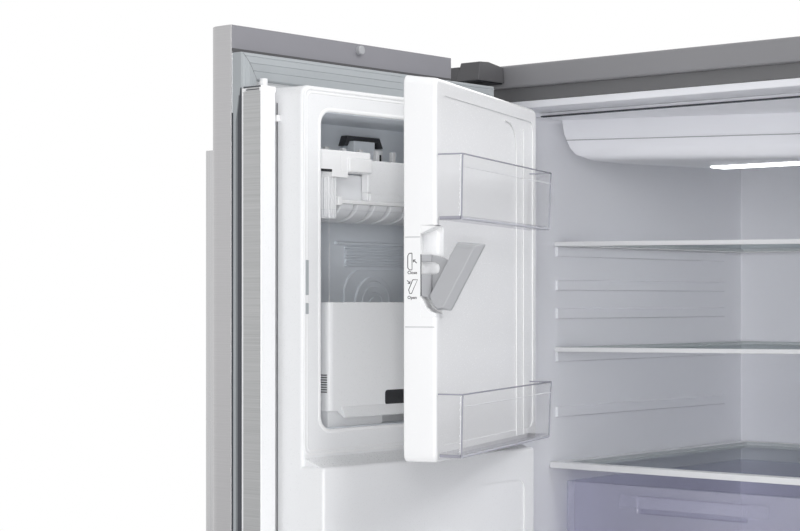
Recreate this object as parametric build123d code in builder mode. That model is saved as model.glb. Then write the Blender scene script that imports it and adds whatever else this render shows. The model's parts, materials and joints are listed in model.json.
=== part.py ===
from build123d import *
import os

os.makedirs("parts", exist_ok=True)

# A French-door refrigerator with an ice compartment in its left door, in millimetres.
# X runs to the right, Y to the back and Z up. The origin is on the floor, under the middle of the whole
# refrigerator as it stands with its two doors square open.
# Every door piece is drawn with its door shut and then swung to the pose that it rests in.

# Cabinet
cabinet_width = 908
cabinet_depth = 720
cabinet_height = 1760
base_height = 40
sheet = 1.2
side_wall = 48
top_wall = 54
fresh_depth = 580
freezer_depth = 440
seam_height = 744
fresh_floor_rise = 46
freezer_ceiling_drop = 44
freezer_floor = 140
machine_height = 300
machine_depth = 240
frame_plate = 3
liner_lip = 9
cavity_corner = 12
trim_depth = 10
running_gap = 0.3
pin_clearance = 0.06

# Doors
door_gap = 6
door_depth = 40
door_corner = 20
gasket_gap = 16
gasket_height = 15.4
gasket_width = 11
gasket_inset = 2
gasket_hinge_inset = 15
cap_height = 28
seam_gap = 8
freezer_front_bottom = 80
hinge_inset = 20
hinge_setback = 5
hinge_pin = 3.2
door_open_angle = 90

half_width = cabinet_width / 2
door_width = half_width - door_gap / 2
open_reach = gasket_gap + door_depth - hinge_setback + door_width - hinge_inset
back_y = (cabinet_depth + open_reach) / 2
front_y = back_y - cabinet_depth
cavity_half = half_width - side_wall
fresh_floor = seam_height + fresh_floor_rise
fresh_top = cabinet_height - top_wall
freezer_ceiling = seam_height - freezer_ceiling_drop
fresh_back_y = front_y + fresh_depth
freezer_back_y = front_y + freezer_depth
chassis_plate = 4
liner_bottom = base_height + chassis_plate

door_back_y = front_y - gasket_gap
door_top = cabinet_height
door_bottom = seam_height + seam_gap / 2
freezer_front_top = seam_height - seam_gap / 2
skin_top = door_top - cap_height
skin_bottom = door_bottom + cap_height
hinge_x = half_width - hinge_inset
hinge_y = door_back_y - door_depth + hinge_setback
hinge_notch = door_width - hinge_inset - 61

# Left door liner: a frame round the ice compartment and a thicker block below it
dyke_inset = 30
dyke_hinge_inset = 54.5
frame_depth = 76
block_depth = 106
dyke_top = door_top - 66.5
dyke_bottom = fresh_floor + 8
ledge_height = dyke_top - 392.5
ledge_drop = 8
frame_border = 28
frame_border_top = 26
frame_border_bottom = 29
ice_back = 18
ice_corner = 11

dyke_end = door_width - dyke_hinge_inset
ice_left = dyke_inset + frame_border
ice_right = dyke_end - frame_border
ice_top = dyke_top - frame_border_top
ice_bottom = ledge_height + frame_border_bottom

# Ice door on the left door
ice_door_inner = 77.5
ice_door_thickness = 35.5
ice_door_clearance = 2
ice_door_width = 353
ice_open_angle = 20
ice_pin = 3
ice_axis_inset = 2.5
ice_axis_lift = 3
bin_depth = 28
bin_wall = 2.5
upper_bin_height = 67
lower_bin_height = 65
upper_bin_rise = 245
lower_bin_rise = 5
bin_end_inset = 2
bin_far_inset = 31

ice_door_bottom = ledge_height + ice_door_clearance
ice_door_top = dyke_top - ice_door_clearance
ice_door_outer = ice_door_inner + ice_door_thickness
ice_door_far = dyke_inset + ice_door_width
ice_axis_s = ice_door_far - ice_axis_inset
ice_axis_v = ice_door_inner + ice_axis_lift

# Latch lever in a scoop at the ice door's free edge
latch_height = ice_door_bottom + 159
latch_proud = 5
lever_tilt = 22
lever_thickness = 16
latch_plate = 4
latch_pin = 3
scoop_depth = 17
scoop_length = 24
scoop_below = 12
scoop_above = 81

# Folding mullion on the left door's free edge
mullion_width = 27.2
mullion_depth = 23
mullion_axis_inset = 3.4
mullion_plate = 0.8
mullion_pin = 1.6
mullion_top = dyke_top - 7
mullion_bottom = dyke_bottom + 26
mullion_reach = 20.2

# Dispenser in the left door's front
dispenser_s0 = 115
dispenser_s1 = 335
dispenser_bottom = 985
dispenser_top = 1268
dispenser_depth = 98
dispenser_wall = 3
panel_height = 78
panel_thickness = 4

# Handles
bar_width = 24
bar_depth = 20
bar_standoff = 32
bar_inset = 47
handle_top_drop = 127
handle_length = 753
handle_post = 51

# Drawers and shelves in the cabinet
shelf_thickness = 6
shelf_upper = fresh_top - 163
shelf_lower = fresh_top - 300
crisper_cover = fresh_top - 448
divider_height = 1046
drawer_front_inset = 100
drawer_travel = 170
drawer_wall = 3
shelf_side_gap = 2
crisper_height = 188
pantry_height = 236
freezer_travel = 400


def block(x0, x1, y0, y1, z0, z1, mode=Mode.ADD):
    """Add a box between two corners to the piece being built."""
    with Locations(((x0 + x1) / 2, (y0 + y1) / 2, (z0 + z1) / 2)):
        Box(abs(x1 - x0), abs(y1 - y0), abs(z1 - z0), mode=mode)


def upright_panel(x0, x1, z0, z1, y0, y1, radius, mode=Mode.ADD):
    """Add a round-cornered plate that faces the front, from y0 back to y1."""
    with BuildSketch(Plane.XZ.offset(-y0)) as plate:
        with Locations(((x0 + x1) / 2, (z0 + z1) / 2)):
            RectangleRounded(abs(x1 - x0), abs(z1 - z0), radius)
    extrude(plate.sketch, amount=-(y1 - y0), mode=mode)


def rod(start, direction, radius, length, mode=Mode.ADD):
    """Add a round rod from a start point along a direction."""
    with BuildSketch(Plane(origin=start, z_dir=direction)) as end:
        Circle(radius)
    extrude(end.sketch, amount=length, mode=mode)


def door_x(side, s):
    """X of a point s millimetres in from a shut door's free edge; side is -1 left, +1 right."""
    return side * (door_gap / 2 + s)


def door_y(v):
    """Y of a point v millimetres inside a shut door's back plane."""
    return door_back_y + v


def door_block(side, s0, s1, v0, v1, z0, z1, mode=Mode.ADD):
    """Add a box to a shut door, by distance from the free edge and from the back plane."""
    block(door_x(side, s0), door_x(side, s1), door_y(v0), door_y(v1), z0, z1, mode)


def door_panel(side, s0, s1, v0, v1, z0, z1, radius, mode=Mode.ADD):
    """Add a round-cornered plate to a shut door."""
    xs = sorted((door_x(side, s0), door_x(side, s1)))
    upright_panel(xs[0], xs[1], z0, z1, door_y(v0), door_y(v1), radius, mode)


def door_plan(side, s0, s1, v0, v1, radius):
    """Plan of a door shell with its two front edges rounded."""
    xs = sorted((door_x(side, s0), door_x(side, s1)))
    front = door_y(v0)
    rear = door_y(v1)
    with BuildLine() as outline:
        Line((xs[0], rear), (xs[0], front + radius))
        RadiusArc((xs[0], front + radius), (xs[0] + radius, front), -radius)
        Line((xs[0] + radius, front), (xs[1] - radius, front))
        RadiusArc((xs[1] - radius, front), (xs[1], front + radius), -radius)
        Line((xs[1], front + radius), (xs[1], rear))
        Line((xs[1], rear), (xs[0], rear))
    make_face(outline.edges())


def swing(x, y, angle):
    """Turn about an upright axis through x, y."""
    return Pos(x, y, 0) * Rot(0, 0, angle) * Pos(-x, -y, 0)


def save(piece, label, pose=Location()):
    """Bring a finished piece to its rest pose, name it and write it."""
    placed = pose * piece.part
    placed.label = label
    export_step(placed, f"parts/{label}.step")


left_pose = swing(-hinge_x, hinge_y, -door_open_angle)
right_pose = swing(hinge_x, hinge_y, door_open_angle)
ice_pose = left_pose * swing(door_x(-1, ice_axis_s), door_y(ice_axis_v), ice_open_angle)
door_poses = {-1: left_pose, 1: right_pose}
door_names = {-1: "left", 1: "right"}

# Cabinet case, liners and front

with BuildPart() as outer_case:
    block(-half_width, half_width, front_y + frame_plate, back_y, base_height, cabinet_height)
    inner = half_width - sheet
    block(-inner, inner, front_y, back_y - sheet, base_height - 1, cabinet_height - sheet, Mode.SUBTRACT)
    block(-inner, inner, back_y - 50, back_y + 1, base_height - 1, machine_height, Mode.SUBTRACT)
save(outer_case, "outer_case")

rib_depth = 3
rib_height = 13
rib_start = front_y + 112
rib_length = 420
rib_tops = [shelf_upper - shelf_thickness, shelf_upper - 50, shelf_lower + 50,
            shelf_lower - shelf_thickness, shelf_lower - 78]
duct_slot_y = front_y + 64

with BuildPart() as fresh_food_liner:
    inner = half_width - sheet
    block(-inner, inner, front_y + frame_plate, back_y - sheet, seam_height, cabinet_height - sheet)
    lip_half = cavity_half + liner_lip
    block(-lip_half, lip_half, front_y, front_y + frame_plate, fresh_floor - liner_lip,
          fresh_top + liner_lip)
    upright_panel(-cavity_half, cavity_half, fresh_floor, fresh_top, front_y, fresh_back_y, cavity_corner,
                  Mode.SUBTRACT)
    for side in (-1, 1):
        wall_x = side * cavity_half
        for top in rib_tops:
            block(wall_x, wall_x - side * rib_depth, rib_start, rib_start + rib_length, top - rib_height,
                  top)
    block(-360, 360, duct_slot_y, duct_slot_y + 9, fresh_top, fresh_top + 8, Mode.SUBTRACT)
save(fresh_food_liner, "fresh_food_liner")

evaporator_depth = 70
evaporator_half = 300
evaporator_bottom = machine_height + 40
panel_lap = 20
panel_sheet = 2

with BuildPart() as freezer_liner:
    inner = half_width - sheet
    block(-inner, inner, front_y + frame_plate, back_y - sheet, liner_bottom, seam_height)
    block(-inner, inner, back_y - machine_depth, back_y, liner_bottom, machine_height, Mode.SUBTRACT)
    lip_half = cavity_half + liner_lip
    block(-lip_half, lip_half, front_y, front_y + frame_plate, freezer_floor - liner_lip,
          freezer_ceiling + liner_lip)
    upright_panel(-cavity_half, cavity_half, freezer_floor, freezer_ceiling, front_y, freezer_back_y,
                  cavity_corner, Mode.SUBTRACT)
    block(-evaporator_half, evaporator_half, freezer_back_y, freezer_back_y + evaporator_depth,
          evaporator_bottom, freezer_ceiling - panel_lap, Mode.SUBTRACT)
save(freezer_liner, "freezer_liner")

with BuildPart() as front_frame:
    block(-half_width, half_width, front_y, front_y + frame_plate, liner_bottom, cabinet_height)
    lip_half = cavity_half + liner_lip
    for low, high in ((fresh_floor, fresh_top), (freezer_floor, freezer_ceiling)):
        block(-lip_half, lip_half, front_y - 1, front_y + frame_plate + 1, low - liner_lip,
              high + liner_lip,
              Mode.SUBTRACT)
save(front_frame, "front_frame")

with BuildPart() as top_trim:
    block(-half_width, half_width, front_y - trim_depth, front_y, skin_top, cabinet_height)
    fillet(top_trim.edges().filter_by(Axis.X).sort_by(Axis.Y)[:2], 3)
save(top_trim, "top_trim")

# Hinges: a bracket and a pin above and below each door, and a cover over the upper brackets
cover_room = 13
cover_reach = gasket_gap - trim_depth + door_depth - hinge_setback + cover_room
cover_width = 61
cover_wall = 2.5
cover_rise = 4
bracket_plate = 4
bracket_height = cabinet_height - 18
pin_depth = 30
centre_plate = 5
centre_height = seam_height - centre_plate / 2

with BuildPart() as hinge_covers:
    cover_v1 = gasket_gap - trim_depth
    cover_v0 = cover_v1 - cover_reach
    for side in (-1, 1):
        for shrink, way in ((0, Mode.ADD), (cover_wall, Mode.SUBTRACT)):
            with BuildSketch(Plane.XY.offset(skin_top + 6 - shrink)) as plan:
                door_plan(side, door_width - cover_width + shrink, door_width - shrink, cover_v0 + shrink,
                          cover_v1, 8 - shrink)
            extrude(amount=cabinet_height + cover_rise - skin_top - 6, mode=way)
save(hinge_covers, "hinge_covers")

with BuildPart() as hinge_brackets:
    rear_y = front_y - trim_depth
    for side in (-1, 1):
        block(side * (hinge_x + 14), side * (hinge_x - 28), hinge_y - 9, rear_y, bracket_height,
              bracket_height + bracket_plate)
        rod((side * hinge_x, hinge_y, bracket_height), (0, 0, -1), hinge_pin,
            bracket_height - skin_top + pin_depth)
        block(side * (hinge_x + 14), side * (hinge_x - 28), hinge_y - 9, front_y, centre_height,
              centre_height + centre_plate)
        rod((side * hinge_x, hinge_y, centre_height), (0, 0, 1), hinge_pin, cap_height)
save(hinge_brackets, "hinge_brackets")

# Chassis, feet, rollers and the machine compartment
foot_x = 400
foot_y = front_y + 60
foot_pad = 12
foot_radius = 19
foot_stem = 6
roller_radius = 22
roller_width = 24
roller_x = 380
roller_y = back_y - 60
axle = 4
cheek = 4
fan_x = 40
fan_y = back_y - machine_depth / 2
fan_z = 165
fan_radius = 70
fan_shaft = 3
shroud_sheet = 3

with BuildPart() as base_frame:
    block(-half_width + sheet, half_width - sheet, front_y + frame_plate, back_y - sheet, base_height,
          liner_bottom)
    for side in (-1, 1):
        rod((side * foot_x, foot_y, base_height), (0, 0, -1), foot_stem + 5, 14)
        rod((side * foot_x, foot_y, liner_bottom + 1), (0, 0, -1), foot_stem + pin_clearance, 40,
            Mode.SUBTRACT)
        for offset in (-1, 1):
            near = side * roller_x + offset * (roller_width / 2 + 1)
            far = near + offset * cheek
            block(near, far, roller_y - 16, roller_y + 16, roller_radius - 8, base_height)
        well = roller_width / 2 + 1
        block(side * roller_x - well, side * roller_x + well, roller_y - roller_radius - 2,
              roller_y + roller_radius + 2, base_height - 1, liner_bottom + 1, Mode.SUBTRACT)
        rod((side * roller_x - well, roller_y, roller_radius), (1, 0, 0), axle, roller_width + 2)
    block(fan_x, fan_x + shroud_sheet, fan_y - 90, fan_y + 90, liner_bottom, fan_z + 95)
    rod((fan_x - 1, fan_y, fan_z), (1, 0, 0), fan_radius + 4, 10, Mode.SUBTRACT)
    block(fan_x, fan_x + shroud_sheet, fan_y - fan_radius - 6, fan_y + fan_radius + 6, fan_z - 8, fan_z + 8)
    rod((fan_x, fan_y, fan_z), (-1, 0, 0), fan_shaft, 26)
save(base_frame, "base_frame")

for side in (-1, 1):
    with BuildPart() as foot:
        rod((side * foot_x, foot_y, 0), (0, 0, 1), foot_radius, foot_pad)
        fillet(foot.edges().filter_by(GeomType.CIRCLE).sort_by(Axis.Z)[-1], 4)
        rod((side * foot_x, foot_y, 0), (0, 0, 1), foot_stem, liner_bottom - 1)
    save(foot, f"{door_names[side]}_levelling_foot")

with BuildPart() as rear_rollers:
    for side in (-1, 1):
        start = (side * roller_x - roller_width / 2, roller_y, roller_radius)
        rod(start, (1, 0, 0), roller_radius, roller_width)
        rod(start, (1, 0, 0), axle + pin_clearance, roller_width, Mode.SUBTRACT)
save(rear_rollers, "rear_rollers")

grille_top = freezer_front_bottom - 6
with BuildPart() as toe_grille:
    block(-half_width + 20, half_width - 20, front_y - 14, front_y, base_height - 16, grille_top)
    block(-half_width + 22, half_width - 22, front_y - 12, front_y - 2, base_height - 20, grille_top - 2,
          Mode.SUBTRACT)
    with BuildSketch(Plane.XZ.offset(-(front_y - 15))):
        with Locations((0, (base_height + grille_top) / 2)):
            with GridLocations(26, 10, 30, 3):
                SlotOverall(20, 4)
    extrude(amount=-4, mode=Mode.SUBTRACT)
save(toe_grille, "toe_grille")

compressor_x = -230
compressor_radius = 82
with BuildPart() as compressor:
    with BuildSketch(Plane.XZ.offset(-fan_y)):
        with BuildLine():
            Polyline((compressor_x, 60), (compressor_x + 70, 60), (compressor_x + compressor_radius, 80),
                     (compressor_x + compressor_radius, 190))
            ThreePointArc((compressor_x + compressor_radius, 190), (compressor_x + 60, 226),
                          (compressor_x, 238))
            Line((compressor_x, 238), (compressor_x, 60))
        make_face()
    revolve(axis=Axis((compressor_x, fan_y, 0), (0, 0, 1)))
    block(compressor_x - 95, compressor_x + 95, fan_y - 40, fan_y + 40, liner_bottom, liner_bottom + 4)
    for offset in (-80, 80):
        rod((compressor_x + offset, fan_y, liner_bottom), (0, 0, 1), 12, 18)
    block(compressor_x - 95, compressor_x + 95, fan_y - 20, fan_y + 20, liner_bottom + 18,
          liner_bottom + 22)
    rod((compressor_x, fan_y, liner_bottom), (0, 0, 1), 30, 30)
    rod((compressor_x + 40, fan_y - 40, 200), (0, 0, 1), 5, 70)
save(compressor, "compressor")

with BuildPart() as condenser_coil:
    for row in range(14):
        x = 130 + row * 20
        block(x, x + 2, fan_y - 80, fan_y + 80, liner_bottom, liner_bottom + 190)
    for height in range(4):
        for depth in (-50, 0, 50):
            rod((122, fan_y + depth, liner_bottom + 30 + height * 44), (1, 0, 0), 4, 284)
save(condenser_coil, "condenser_coil")

fan_hub = 18
with BuildPart() as condenser_fan:
    rod((fan_x - 6, fan_y, fan_z), (-1, 0, 0), fan_hub, 16)
    for turn in range(5):
        blade = Plane(origin=(fan_x - 14, fan_y, fan_z), x_dir=(0, 1, 0),
                      z_dir=(-1, 0, 0)).rotated((72 * turn, 0, 0))
        with BuildSketch(blade):
            with Locations((fan_radius / 2 + 4, 0)):
                RectangleRounded(fan_radius - 8, 34, 8)
        extrude(amount=3)
    rod((fan_x, fan_y, fan_z), (-1, 0, 0), fan_shaft + pin_clearance, 60, Mode.SUBTRACT)
save(condenser_fan, "condenser_fan")

with BuildPart() as machine_cover:
    block(-half_width + 10, half_width - 10, back_y - sheet - panel_sheet, back_y - sheet, liner_bottom,
          machine_height)
    with BuildSketch(Plane.XZ.offset(-(back_y - 8))):
        with Locations((170, (liner_bottom + machine_height) / 2)):
            with GridLocations(40, 16, 11, 12):
                SlotOverall(32, 6)
    extrude(amount=-12, mode=Mode.SUBTRACT)
save(machine_cover, "machine_cover")

with BuildPart() as evaporator_coil:
    tubes_bottom = evaporator_bottom
    for row in range(24):
        x = -270 + row * 23
        block(x, x + 1.5, freezer_back_y + 12, freezer_back_y + evaporator_depth, tubes_bottom,
              tubes_bottom + 200)
    for height in range(5):
        rod((-285, freezer_back_y + 40, tubes_bottom + 20 + height * 40), (1, 0, 0), 4, 565)
save(evaporator_coil, "evaporator_coil")

with BuildPart() as freezer_duct_panel:
    reach = evaporator_half + panel_lap
    block(-reach, reach, freezer_back_y - panel_sheet, freezer_back_y, evaporator_bottom - panel_lap,
          freezer_ceiling - 4)
    with BuildSketch(Plane.XZ.offset(-(freezer_back_y - 8))):
        with Locations((0, freezer_ceiling - 70)):
            with GridLocations(60, 24, 9, 3):
                SlotOverall(48, 9)
    extrude(amount=-16, mode=Mode.SUBTRACT)
save(freezer_duct_panel, "freezer_duct_panel")

# Fresh-food interior: shelves, lamp cover, air duct and drawers
left_clear_y = front_y + 106
centre_clear_y = front_y + 250
right_front_y = front_y + 98
shelf_back_y = fresh_back_y - 2
shelf_split = 3
frame_rail = 10
shelf_x = cavity_half - shelf_side_gap


def shelf_outline(side, inset):
    """Plan of a half-width shelf; the left one slants back to clear an ice door that hangs ajar."""
    outer_x = side * (shelf_x - inset)
    inner_x = side * (shelf_split + inset)
    outer_y = (left_clear_y if side < 0 else right_front_y) + inset
    inner_y = (centre_clear_y if side < 0 else right_front_y) + inset
    rear_y = shelf_back_y - inset
    with BuildLine() as outline:
        Polyline((outer_x, outer_y), (inner_x, inner_y), (inner_x, rear_y), (outer_x, rear_y), close=True)
    make_face(outline.edges())


with BuildPart() as shelf_frames:
    for side in (-1, 1):
        for level in (shelf_upper, shelf_lower):
            with BuildSketch(Plane.XY.offset(level - shelf_thickness)):
                shelf_outline(side, 0)
            extrude(amount=shelf_thickness)
            with BuildSketch(Plane.XY.offset(level - shelf_thickness + 2)):
                shelf_outline(side, frame_rail - 4)
            extrude(amount=shelf_thickness, mode=Mode.SUBTRACT)
            with BuildSketch(Plane.XY.offset(level - shelf_thickness)):
                shelf_outline(side, frame_rail)
            extrude(amount=shelf_thickness, mode=Mode.SUBTRACT)
            arm = side * (shelf_split + frame_rail)
            block(side * shelf_split, arm, fresh_back_y - 200, fresh_back_y, level - 34,
                  level - shelf_thickness)
    cover_half = shelf_x
    for level, thickness in ((crisper_cover, 8), (divider_height, 6)):
        block(-cover_half, cover_half, front_y + 96, fresh_back_y, level - thickness, level)
    block(-cover_half + 20, cover_half - 20, front_y + 112, fresh_back_y - 20, crisper_cover - 4,
          crisper_cover + 1,
          Mode.SUBTRACT)
    block(-cover_half + 26, cover_half - 26, front_y + 118, fresh_back_y - 26, crisper_cover - 9,
          crisper_cover + 1,
          Mode.SUBTRACT)
    block(-3, 3, front_y + 104, fresh_back_y, divider_height, crisper_cover - 8)
    for side in (-1, 1):
        block(side * cover_half, side * (cover_half + 2), front_y + 116, fresh_back_y, crisper_cover - 8,
              crisper_cover)
        block(side * cover_half, side * (cover_half + 2), front_y + 116, fresh_back_y, divider_height - 6,
              divider_height)
save(shelf_frames, "shelf_frames")

with BuildPart() as shelf_glass:
    for side in (-1, 1):
        for level in (shelf_upper, shelf_lower):
            with BuildSketch(Plane.XY.offset(level - shelf_thickness + 2)):
                shelf_outline(side, frame_rail - 4)
            extrude(amount=shelf_thickness - 2)
    block(-shelf_x + 20, shelf_x - 20, front_y + 112, fresh_back_y - 20, crisper_cover - 4, crisper_cover)
save(shelf_glass, "shelf_glass")

lamp_drop = 50
lamp_half = 381
with BuildPart() as ceiling_lamp_cover:
    with BuildSketch(Plane.XY.offset(fresh_top - lamp_drop)):
        with BuildLine():
            Polyline((-lamp_half, left_clear_y + 8), (-60, centre_clear_y - 4), (60, centre_clear_y - 4),
                     (lamp_half, left_clear_y + 8), (lamp_half - 40, front_y + 330), (-lamp_half + 40,
                                                                                      front_y + 330),
                     close=True)
        make_face()
    extrude(amount=lamp_drop)
    fillet(ceiling_lamp_cover.edges().group_by(Axis.Z)[0], 14)
save(ceiling_lamp_cover, "ceiling_lamp_cover")

duct_half = 150
with BuildPart() as air_duct_panel:
    upright_panel(-duct_half, duct_half, crisper_cover + 20, fresh_top - lamp_drop - 20,
                  fresh_back_y - 14, fresh_back_y, 20)
    for side in (-1, 1):
        for level in (shelf_upper, shelf_lower):
            block(side * shelf_split - 14, side * shelf_split + 14, fresh_back_y - 30, fresh_back_y,
                  level - 36, level + 2,
                  Mode.SUBTRACT)
            block(-duct_half - 1, duct_half + 1, fresh_back_y - 30, fresh_back_y, level - 8, level + 2,
                  Mode.SUBTRACT)
    with BuildSketch(Plane.XZ.offset(-(fresh_back_y - 16))):
        with Locations((0, shelf_upper + 45), (0, shelf_lower + 60)):
            with GridLocations(0, 14, 1, 3):
                SlotOverall(200, 6)
    extrude(amount=-8, mode=Mode.SUBTRACT)
save(air_duct_panel, "air_duct_panel")


def drawer_box(x0, x1, y0, y1, z0, z1, wall):
    """Add an open-topped drawer with a thick front, a scooped pull and a rim."""
    block(x0, x1, y0, y1, z0, z1)
    block(x0 + wall, x1 - wall, y0 + 16, y1 - wall, z0 + wall, z1 + 1, Mode.SUBTRACT)
    middle = (x0 + x1) / 2
    pull = min(150, (x1 - x0) / 2)
    block(middle - pull / 2, middle + pull / 2, y0 - 1, y0 + 9, z1 - 34, z1 - 12, Mode.SUBTRACT)


drawer_front_y = front_y + drawer_front_inset
drawer_back_y = fresh_back_y - 40
drawer_half = cavity_half - 24
for side in (-1, 1):
    with BuildPart() as crisper:
        xs = sorted((side * 6, side * drawer_half))
        drawer_box(xs[0], xs[1], drawer_front_y, drawer_back_y, divider_height + running_gap,
                   divider_height + crisper_height, drawer_wall)
        fillet(crisper.edges().filter_by(Axis.Z).group_by(Axis.Y)[0], 6)
    save(crisper, f"{door_names[side]}_crisper")

with BuildPart() as pantry_drawer:
    drawer_box(-drawer_half, drawer_half, drawer_front_y, drawer_back_y, fresh_floor + running_gap,
               fresh_floor + pantry_height, drawer_wall)
    fillet(pantry_drawer.edges().filter_by(Axis.Z).group_by(Axis.Y)[0], 6)
save(pantry_drawer, "pantry_drawer")

# Door shells: skin, caps, gasket and handle, the same for both upper doors


def door_skin(side):
    """Steel skin folded round the front and both edges of a door, up to the top but for the hinge corner."""
    with BuildSketch(Plane.XY.offset(skin_bottom)) as outside:
        door_plan(side, 0, door_width, -door_depth, 0, door_corner)
    extrude(outside.sketch, amount=door_top - skin_bottom)
    with BuildSketch(Plane.XY.offset(skin_bottom)) as inside:
        door_plan(side, sheet, door_width - sheet, -door_depth + sheet, 1, door_corner - sheet)
    extrude(inside.sketch, amount=door_top - skin_bottom, mode=Mode.SUBTRACT)
    door_block(side, hinge_notch, door_width + 1, -door_depth - 1, 1, skin_top, door_top + 1,
               Mode.SUBTRACT)


def door_core(side):
    """Foam core that fills the skin and carries the bores for the hinge pin."""
    with BuildSketch(Plane.XY.offset(skin_bottom)) as inside:
        door_plan(side, sheet, door_width - sheet, -door_depth + sheet, 0, door_corner - sheet)
    extrude(inside.sketch, amount=skin_top - skin_bottom)


def hinge_bores(side):
    """Cut the bores that the upper and lower hinge pins run in."""
    rod((side * hinge_x, hinge_y, skin_top + 1), (0, 0, -1), hinge_pin + pin_clearance, pin_depth + 3,
        Mode.SUBTRACT)
    rod((side * hinge_x, hinge_y, door_bottom - 1), (0, 0, 1), hinge_pin + pin_clearance, cap_height + 4,
        Mode.SUBTRACT)


for side in (-1, 1):
    name = door_names[side]
    pose = door_poses[side]

    with BuildPart() as door_caps:
        with BuildSketch(Plane.XY.offset(skin_top)):
            door_plan(side, sheet, door_width - sheet, -door_depth + sheet, 0, door_corner - sheet)
        extrude(amount=cap_height)
        door_block(side, hinge_notch, door_width + 1, -door_depth - 1, 1, skin_top, door_top + 1,
                   Mode.SUBTRACT)
        with BuildSketch(Plane.XY.offset(door_bottom)):
            door_plan(side, 0, door_width, -door_depth, 0, door_corner)
        extrude(amount=cap_height)
        hinge_bores(side)
    save(door_caps, f"{name}_door_caps", pose)

    with BuildPart() as gasket:
        seal_top = skin_top - gasket_inset
        seal_bottom = door_bottom + gasket_inset + 8
        seal_far = door_width - gasket_hinge_inset
        door_panel(side, gasket_inset, seal_far, 0, gasket_height, seal_bottom, seal_top, 3)
        door_panel(side, gasket_inset + gasket_width, seal_far - gasket_width, -1, gasket_height + 1,
                   seal_bottom + gasket_width, seal_top - gasket_width, 2, Mode.SUBTRACT)
    save(gasket, f"{name}_door_gasket", pose)

    with BuildPart() as handle:
        bar_front = -door_depth - bar_standoff - bar_depth
        handle_top = door_top - handle_top_drop
        handle_bottom = handle_top - handle_length
        door_block(side, bar_inset, bar_inset + bar_width, bar_front, bar_front + bar_depth,
                   handle_bottom, handle_top)
        fillet(handle.edges().filter_by(Axis.Z), 6)
        for low in (handle_bottom, handle_top - handle_post):
            door_block(side, bar_inset + 2, bar_inset + bar_width - 2, bar_front + bar_depth - 4,
                       -door_depth, low + 2,
                       low + handle_post)
    save(handle, f"{name}_door_handle", pose)

# Left door: skin with the dispenser opening, and the liner with the ice compartment
panel_top = dispenser_top + 10 + panel_height

with BuildPart() as left_door_skin:
    door_skin(-1)
    door_panel(-1, dispenser_s0, dispenser_s1, -door_depth - 1, -door_depth + sheet + 1, dispenser_bottom,
               dispenser_top, 14,
               Mode.SUBTRACT)
save(left_door_skin, "left_door_skin", left_pose)

chute_s0 = 190
chute_s1 = 250
chute_v0 = 0
chute_v1 = 46
lug = 5
panel_recess = 1.5

with BuildPart() as left_door_liner:
    door_panel(-1, dyke_inset, dyke_end, -1, frame_depth, dyke_bottom, dyke_top, 12)
    fillet(left_door_liner.faces().sort_by(Axis.Y)[-1].edges(), 5)
    door_panel(-1, dyke_inset, dyke_end, -1, block_depth, dyke_bottom, ledge_height - ledge_drop, 4)
    fillet(left_door_liner.faces().sort_by(Axis.Y)[-1].edges(), 3.5)
    with BuildSketch(Plane.YZ.offset(door_x(-1, dyke_end - 4))):
        with BuildLine():
            Polyline((door_y(frame_depth - 1), ledge_height), (door_y(frame_depth), ledge_height),
                     (door_y(block_depth - 8), ledge_height - ledge_drop),
                     (door_y(frame_depth - 1), ledge_height - ledge_drop - 4), close=True)
        make_face()
    extrude(amount=dyke_end - dyke_inset - 8)
    door_core(-1)
    hinge_bores(-1)
    door_panel(-1, ice_left, ice_right, -ice_back, frame_depth + 40, ice_bottom, ice_top, ice_corner,
               Mode.SUBTRACT)
    door_panel(-1, dispenser_s0, dispenser_s1, -door_depth, dispenser_depth - door_depth,
               dispenser_bottom, dispenser_top, 14,
               Mode.SUBTRACT)
    door_block(-1, chute_s0, chute_s1, chute_v0, chute_v1, dispenser_top - 5, ice_bottom + 5, Mode.SUBTRACT)
    door_panel(-1, dyke_inset + 20, dyke_end - 20, block_depth - panel_recess, block_depth + 1,
               dyke_bottom + 24,
               ledge_height - 44, 12, Mode.SUBTRACT)
    door_block(-1, ice_axis_s - 9, ice_axis_s + 8, frame_depth - 30, ice_axis_v + 8, dyke_top,
               dyke_top + lug)
    rod((door_x(-1, ice_axis_s), door_y(ice_axis_v), dyke_top + lug), (0, 0, -1), ice_pin,
        lug + ice_door_clearance + 12)
    rod((door_x(-1, ice_axis_s), door_y(ice_axis_v), ledge_height - 8), (0, 0, 1), ice_pin,
        8 + ice_door_clearance + 12)
    mullion_axis_s = mullion_width - mullion_reach - mullion_axis_inset + 0.3
    mullion_axis_v = gasket_gap + 0.3 + mullion_axis_inset
    for level, lift in ((mullion_top + 0.5, -14), (mullion_bottom - 0.5 - lug, lug + 14)):
        door_block(-1, mullion_axis_s - 3, dyke_inset + 6, mullion_axis_v - 3.3, mullion_axis_v + 4,
                   level, level + lug)
        rod((door_x(-1, mullion_axis_s), door_y(mullion_axis_v), level), (0, 0, 1 if lift > 0 else -1),
            mullion_pin, abs(lift))
save(left_door_liner, "left_door_liner", left_pose)

# Mullion, drawn flat as with the doors shut and then folded back
mullion_pose = left_pose * swing(door_x(-1, mullion_axis_s), door_y(mullion_axis_v), 90)
mullion_s0 = -mullion_reach
mullion_s1 = mullion_width - mullion_reach
mullion_v0 = gasket_gap + 0.3
plate_edge = 2.6

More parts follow.
